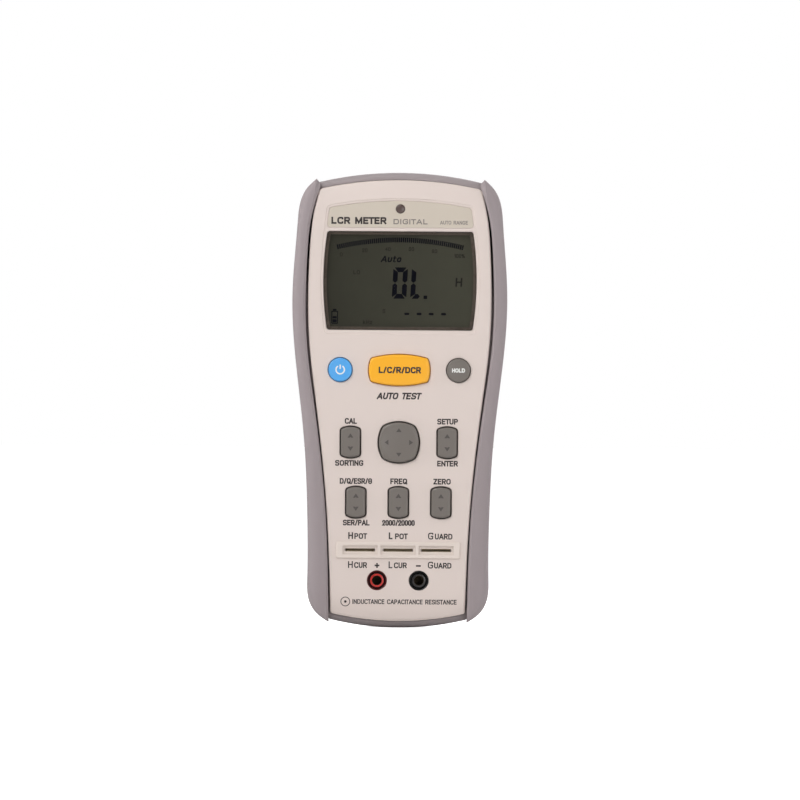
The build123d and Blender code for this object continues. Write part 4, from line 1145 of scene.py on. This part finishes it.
class METER_OT_keys(MeterOperator, bpy.types.Operator):
    """Keys that press straight in: power, hold and the function key, with their marks"""
    bl_idname = "meter.keys"
    bl_label = "Press keys"

    def execute(self, context):
        edge, proud = self.mm("key_edge"), self.mm("print_height")

        def dish(x, z):
            return -0.35 * (1 - min(1.0, (x * x + z * z) / 28.6))

        def crown(x, z):
            return 0.25 * (1 - (x / 13.9) ** 2) * (1 - (z / 7.05) ** 2)

        for node, slot in (("power_key", "key_blue"), ("hold_key", "key_grey")):
            front, back = low(node).y, high(node).y
            shape = Shape().cap(ring(ROUND_KEY_R), at(node), front, back, edge, dish)
            shape.plate(moved(ring(ROUND_KEY_R + 1.2), at(node)), back - 1.1, back)
            shape.piece(node.replace("key", "cap"), node, slot, node)
        crest, back = low("auto_key").y + 0.25, high("auto_key").y
        shape = Shape().cap(AUTO_OUTLINE, AUTO, crest, back, edge + 0.1, crown)
        shape.plate(moved(grown(AUTO_OUTLINE, 1.2), AUTO), back - 1.1, back)
        shape.piece("auto_cap", "auto_key", "key_yellow", "auto_key")

        reach, thick, open_half = 1.9, 0.6, math.radians(33)
        turns = [math.pi / 2 + open_half + (math.tau - 2 * open_half) * n / 32 for n in range(33)]
        arc = [POWER + Vector((math.cos(t), math.sin(t))) * reach for t in turns]
        stem = [POWER + Vector((0, 0.35)), POWER + Vector((0, 2.3))]
        top = low("power_key").y
        for name, shapes, key, level, lift, slot, look in (
                ("power_mark", [(band(arc, thick), None), (band(stem, thick), None)],
                 "power_key", top, dish, "key_blue", "white_ink"),
                ("hold_word", lettering("HOLD", HOLD, 5.9, 1.9, 0.46),
                 "hold_key", top, dish, "key_grey", "white_ink"),
                ("auto_word", lettering("L/C/R/DCR", AUTO + Vector((0.2, 0.0)), 19.2, 2.9, 0.7),
                 "auto_key", crest, crown, "key_yellow", "ink")):
            centre = at(key)
            marks = Shape().marks(
                shapes, lambda x, z: level - proud - lift(x - centre.x, z - centre.y), KEY_INK_AND_SHADE_DEPTH)
            marks.piece(name, key, slot, look=look, weighted=False)
        return {"FINISHED"}


def arrowhead(half_w, tall):
    return cornered([(half_w, -tall / 2), (0, tall / 2), (-half_w, -tall / 2)], 0.1, 2)


class METER_OT_rockers(MeterOperator, bpy.types.Operator):
    """Keys that rock: five two-way keys and the four-way pad, with their arrows"""
    bl_idname = "meter.rockers"
    bl_label = "Rocking keys"

    def execute(self, context):
        edge, proud = self.mm("key_edge"), self.mm("print_height")

        def saddle(x, z):
            return -0.28 * (1 - min(1.0, abs(z) / 5.6) ** 2)

        def hollow(x, z):
            return -0.5 * (1 - min(1.0, (x * x + z * z) / 64))

        for node in ROCKERS:
            front, back, centre = low(node).y, high(node).y, at(node)
            shape = Shape().cap(ROCKER_OUTLINE, centre, front, back, edge, saddle)
            shape.plate(moved(grown(ROCKER_OUTLINE, 0.9), centre), back - 0.8, back)
            name = node.replace("rocker", "cap")
            shape.piece(name, node, "key_grey", node)
            # Painted shade: the engraved arrows are drawn as dark sheets standing on the cap.
            marks = Shape()
            for way in (1, -1):
                head = [Matrix.Diagonal((1, way)) @ p for p in arrowhead(1.35, 2.0)][::way]
                head = moved(head, centre + Vector((0, way * 3.0)))
                marks.plate(head, front - proud, front + KEY_INK_AND_SHADE_DEPTH,
                            shift=lambda x, z: -saddle(x - centre.x, z - centre.y))
            marks.piece(name.replace("cap", "arrows"), node, "key_grey", look="key_ink", weighted=False)
        front, back = low("nav_pad").y, high("nav_pad").y
        shape = Shape().cap(NAV_OUTLINE, NAV, front, back, edge + 0.2, hollow, 14)
        shape.plate(moved(ring(9.6), NAV), back - 0.8, back)
        shape.piece("nav_cap", "nav_pad", "key_grey", "nav_pad")
        # Painted shade: the pad's engraved arrows are drawn as dark sheets standing on the cap.
        marks = Shape()
        for turn in range(4):
            spin = Matrix.Rotation(turn * math.pi / 2, 2)
            head = [spin @ (p + Vector((0, 5.6))) for p in arrowhead(1.25, 1.8)]
            marks.plate(moved(head, NAV), front - proud, front + KEY_INK_AND_SHADE_DEPTH,
                        shift=lambda x, z: -hollow(x - NAV.x, z - NAV.y))
        marks.piece("nav_arrows", "nav_pad", "key_grey", look="key_ink", weighted=False)
        return {"FINISHED"}


class METER_OT_sockets(MeterOperator, bpy.types.Operator):
    """Lead sockets: the slotted insert and the two round jacks with their sleeves"""
    bl_idname = "meter.sockets"
    bl_label = "Sockets"

    def execute(self, context):
        front, back = low("socket_block").y, high("socket_block").y
        half_w, half_h = 28.2, 3.7
        pitch, slot_half_w, slot_half_h = 17.3, 6.9, 0.7
        recess_y = front + 0.9
        xs = [SOCKET.x + n * pitch for n in (-1, 0, 1)]
        recesses = [moved(boxed(slot_half_w + 0.95, 1.95, 0.2), (x, SOCKET.y)) for x in xs]
        slots = [moved(boxed(slot_half_w, slot_half_h, 0.15), (x, SOCKET.y)) for x in xs]
        wide = [moved(boxed(slot_half_w - 0.5, 1.7, 0.1), (x, SOCKET.y)) for x in xs]
        foot = moved(boxed(half_w - 1.7, half_h - 1.2, 0.3), SOCKET)
        shape = Shape()
        shape.plate(moved(boxed(half_w, half_h, 0.5), SOCKET), front, FACE_Y, recesses, 0.3, 0.2)
        shape.plate(foot, recess_y, FACE_Y + 2.2, slots, hole_edge=0.15)
        shape.plate(foot, FACE_Y + 2.2, back, wide)
        shape.piece("socket_insert", "case", "socket_cream", "socket_block")

        # each sprung leaf as (distance from the slot's middle, depth below its recess)
        leaf = [(0.02, 1.3), (0.05, 1.0), (0.25, 0.55), (0.75, 0.3), (1.2, 1.9), (1.2, 7.0), (1.4, 7.0),
                (1.4, 1.9), (0.9, 0.6), (0.35, 0.85), (0.18, 1.3)]
        leaves = Shape()
        for x in xs:
            for way in (1, -1):
                leaves.loft([[(x + side * 6.4, recess_y + y, SOCKET.y + way * z) for z, y in leaf]
                             for side in (-1, 1)])
        leaves.piece("slot_leaves", "case", "contact_nickel", "slot_contacts")

        for colour, place in JACKS.items():
            jack, sleeve = f"{colour}_jack", f"{colour}_sleeve"
            mouth, back = low(jack).y, high(jack).y
            floor = back - 2.0
            start, end = low(sleeve).y, high(sleeve).y
            # The shroud's darker finish is painted shade of its recess; the collar inside it keeps the
            # jack's own colour.
            Shape().lathe([
                (4.5, mouth + 0.9), (4.45, mouth + 0.75), (4.3, mouth + 0.7), (4.15, mouth + 0.75),
                (4.0, mouth + 0.95), (4.0, floor), (2.26, floor), (2.26, back), (4.5, back)], place).piece(
                    f"{colour}_shroud", "case", f"jack_{colour}", jack, look=f"shroud_{colour}")
            Shape().lathe([
                (3.1, floor + 0.1), (3.1, mouth + 0.6), (3.0, mouth + 0.45), (2.85, mouth + 0.4),
                (2.35, mouth + 0.4), (2.26, mouth + 0.5), (2.26, floor + 0.1)], place).piece(
                    f"{colour}_collar", "case", f"jack_{colour}")
            # The sleeve's dark brass is painted shade of the deep bore.
            Shape().lathe([
                (2.2, start + 0.15), (2.15, start), (2.05, start), (2.0, start + 0.1), (2.0, end - 4.6),
                (0.0, end - 4.6), (0.0, end), (0.8, end), (0.8, end - 2.6), (2.2, end - 2.6)], place).piece(
                    f"{colour}_tube", "case", "sleeve_brass", sleeve)
        return {"FINISHED"}


LEGENDS = [  # words, (x, z), width, and where they differ the capital height, weight and slant
    ("AUTO TEST", (0, 105.4), 19.6, 3.05, 0.68, 0.24),
    ("CAL", (-21.9, 93.9), 5.5), ("SETUP", (22.1, 93.9), 9.4),
    ("SORTING", (-22.5, 74.8), 12.8), ("ENTER", (22.2, 74.8), 9.4),
    ("D/Q/ESR/\u03b8", (-19.4, 66.6), 14.7), ("FREQ", (0.1, 66.6), 7.7), ("ZERO", (19.8, 66.6), 7.9),
    ("SER/PAL", (-19.1, 47.7), 12.1), ("2000/20000", (0.1, 47.7), 14.8),
    ("H", (-21.6, 41.8), 2.2, 3.1, 0.62), ("POT", (-17.1, 41.6), 5.6, 2.6, 0.54),
    ("L", (-3.4, 41.8), 1.7, 3.1, 0.62), ("POT", (1.4, 41.6), 5.6, 2.6, 0.54),
    ("G", (14.8, 41.8), 2.4, 3.1, 0.54), ("UARD", (20.7, 41.6), 8.0, 2.6, 0.54),
    ("H", (-21.6, 28.6), 2.2, 3.1, 0.54), ("CUR", (-17.0, 28.4), 5.8, 2.6, 0.54),
    ("L", (-3.4, 28.6), 1.7, 3.1, 0.54), ("CUR", (1.1, 28.4), 5.8, 2.6, 0.54),
    ("G", (14.8, 28.6), 2.4, 3.1, 0.54), ("UARD", (20.4, 28.4), 7.9, 2.6, 0.54),
    ("INDUCTANCE CAPACITANCE RESISTANCE", (3.1, 11.8), 47.4, 2.15, 0.4),
]


class METER_OT_legends(MeterOperator, bpy.types.Operator):
    """Printed legends on the face and on the name plate"""
    bl_idname = "meter.legends"
    bl_label = "Legends"

    def execute(self, context):
        proud = self.mm("print_height")

        def face(x, z):
            return FACE_Y + roll(x, z) - proud

        shape = Shape()
        for legend in LEGENDS:
            shape.marks(lettering(*legend), face, INK_DEPTH)
        bar, stroke = boxed(1.1, 0.36, 0.04), boxed(0.36, 1.1, 0.04)
        plus, minus, badge = (-9.5, 28.3), (9.3, 28.2), (-23.8, 11.8)
        for shapes in ([(moved(bar, plus), None), (moved(stroke, plus), None)], [(moved(bar, minus), None)],
                       [(moved(ring(2.2, 48), badge), moved(ring(1.85, 48), badge)),
                        (moved(ring(0.6, 24), badge), None)]):
            shape.marks(shapes, face, INK_DEPTH)
        plate_y = BEZEL_Y - proud
        shape.marks(lettering("LCR METER", (-18.9, 185.1), 25.0, 3.2, 0.8), plate_y, INK_DEPTH)
        shape.piece("printed_legends", "case", "cover_white", look="ink", weighted=False)
        pale = Shape()
        pale.marks(lettering("DIGITAL", (4.6, 184.7), 15.5, 2.4, 0.5), plate_y, INK_DEPTH)
        pale.marks(lettering("AUTO RANGE", (24.4, 184.4), 12.6, 1.7, 0.3), plate_y, INK_DEPTH)
        pale.piece("plate_legends", "case", "plate_beige", look="grey_ink", weighted=False)
        return {"FINISHED"}


class METER_OT_case(MeterOperator, bpy.types.Operator):
    """Finishes of the pieces that keep their frame shape: case, stand, door, board and what is on it"""
    bl_idname = "meter.case"
    bl_label = "Case and inside"

    def execute(self, context):
        slots = {row["node"]: row["material_slot"] for row in frame["record"]["subparts"]}
        for node, holder in frame["nodes"].items():
            holder.data.materials.clear()
            holder.data.materials.append(finish(slots[node]))
        return {"FINISHED"}


class METER_OT_stage(MeterOperator, bpy.types.Operator):
    """Pale floor, soft studio light and the camera"""
    bl_idname = "meter.stage"
    bl_label = "Stage"

    def execute(self, context):
        scene = context.scene
        scene.view_settings.view_transform = "Standard"
        data = bpy.data.meshes.new("floor")
        reach = 30.0
        data.from_pydata([(*corner, 0) for corner in four_corners(reach, reach)], [], [(0, 1, 2, 3)])
        recipe = Recipe("Floor")
        rough = recipe.noise(400.0) * 0.05 + 0.9
        seen = recipe.principled(base_color=rgba(0.9, 0.9, 0.9), roughness=rough,
                                 emission_color=rgba(1, 1, 1), emission_strength=0.8)
        felt = recipe.principled(base_color=rgba(0.74, 0.74, 0.74), roughness=rough)
        ray = recipe.node("ShaderNodeLightPath", out="Is Camera Ray")
        mix = recipe.node("ShaderNodeMixShader", {0: ray, 1: felt, 2: seen})
        data.materials.append(recipe.surface(mix))
        floor = bpy.data.objects.new("floor", data)
        scene.collection.objects.link(floor)

        # the light from all round is dimmer in front of the face than behind it
        scene.world = bpy.data.worlds.new("Studio")
        scene.world.use_nodes = True
        graph = Graph(scene.world.node_tree)
        way = graph.node("ShaderNodeTexCoord", out="Generated")
        way = graph.node("ShaderNodeSeparateXYZ", {0: way}, "Y")
        dim = graph.node("ShaderNodeMapRange", {
            "Value": way, "From Min": -0.97, "From Max": -0.3, "To Min": 0.05, "To Max": 0.36})
        soft, seen = (graph.node("ShaderNodeBackground", {"Color": rgba(1, 1, 1), "Strength": strength})
                      for strength in (dim, 1.0))
        ray = graph.node("ShaderNodeLightPath", out="Is Camera Ray")
        mix = graph.node("ShaderNodeMixShader", {0: ray, 1: soft, 2: seen})
        graph.node("ShaderNodeOutputWorld", {0: mix})

        target = Vector((0, 0, 0.1))
        for name, place, size, power in (
                ("key", (-0.5, -0.8, 0.85), 0.5, 6.5), ("fill", (0.4, -0.9, 0.06), 0.5, 2.5),
                ("left", (-1.1, -0.1, 0.55), 0.8, 4.8), ("right", (1.1, -0.1, 0.5), 0.8, 3.5),
                ("top", (0.0, 0.1, 1.3), 0.9, 1.1), ("back", (0.5, 1.2, 0.8), 1.2, 10.0)):
            lamp = bpy.data.lights.new(name, "AREA")
            lamp.size = size
            lamp.energy = power
            holder = bpy.data.objects.new(name, lamp)
            holder.location = place
            holder.rotation_euler = (target - Vector(place)).to_track_quat("-Z", "Y").to_euler()
            scene.collection.objects.link(holder)

        view_width, distance, lean = 0.3638, 8.0, math.radians(-0.42)
        camera = bpy.data.cameras.new("camera")
        camera.sensor_width = 36.0
        camera.lens = camera.sensor_width * distance / view_width
        camera.clip_end = 50.0
        holder = bpy.data.objects.new("camera", camera)
        place = Vector((0.0004, FACE_Y * MM - distance, 0.1036))
        holder.matrix_world = (Matrix.Translation(place) @ Matrix.Rotation(lean, 4, "Y")
                               @ Matrix.Rotation(math.pi / 2, 4, "X"))
        scene.collection.objects.link(holder)
        scene.camera = holder
        return {"FINISHED"}


OPERATORS = (
    METER_OT_stage, METER_OT_case, METER_OT_cover, METER_OT_grips, METER_OT_window, METER_OT_readout,
    METER_OT_keys, METER_OT_rockers, METER_OT_sockets, METER_OT_legends)


class METER_PT_panel(bpy.types.Panel):
    bl_idname = "METER_PT_panel"
    bl_label = "Handheld LCR meter"
    bl_space_type = "VIEW_3D"
    bl_region_type = "UI"
    bl_category = "Meter"

    def draw(self, context):
        for operator in OPERATORS:
            self.layout.operator(operator.bl_idname)
        for group in (context.scene.meter_sizes, context.scene.meter_colours):
            for name in group.__annotations__:
                self.layout.prop(group, name)


CLASSES = (MeterSizes, MeterColours, *OPERATORS, METER_PT_panel)


def register():
    for made in CLASSES:
        bpy.utils.register_class(made)
    bpy.types.Scene.meter_sizes = bpy.props.PointerProperty(type=MeterSizes)
    bpy.types.Scene.meter_colours = bpy.props.PointerProperty(type=MeterColours)


def unregister():
    del bpy.types.Scene.meter_colours
    del bpy.types.Scene.meter_sizes
    for made in reversed(CLASSES):
        bpy.utils.unregister_class(made)


def main():
    register()
    for operator in OPERATORS:
        group, name = operator.bl_idname.split(".")
        getattr(getattr(bpy.ops, group), name)()


if __name__ == "__main__":
    main()
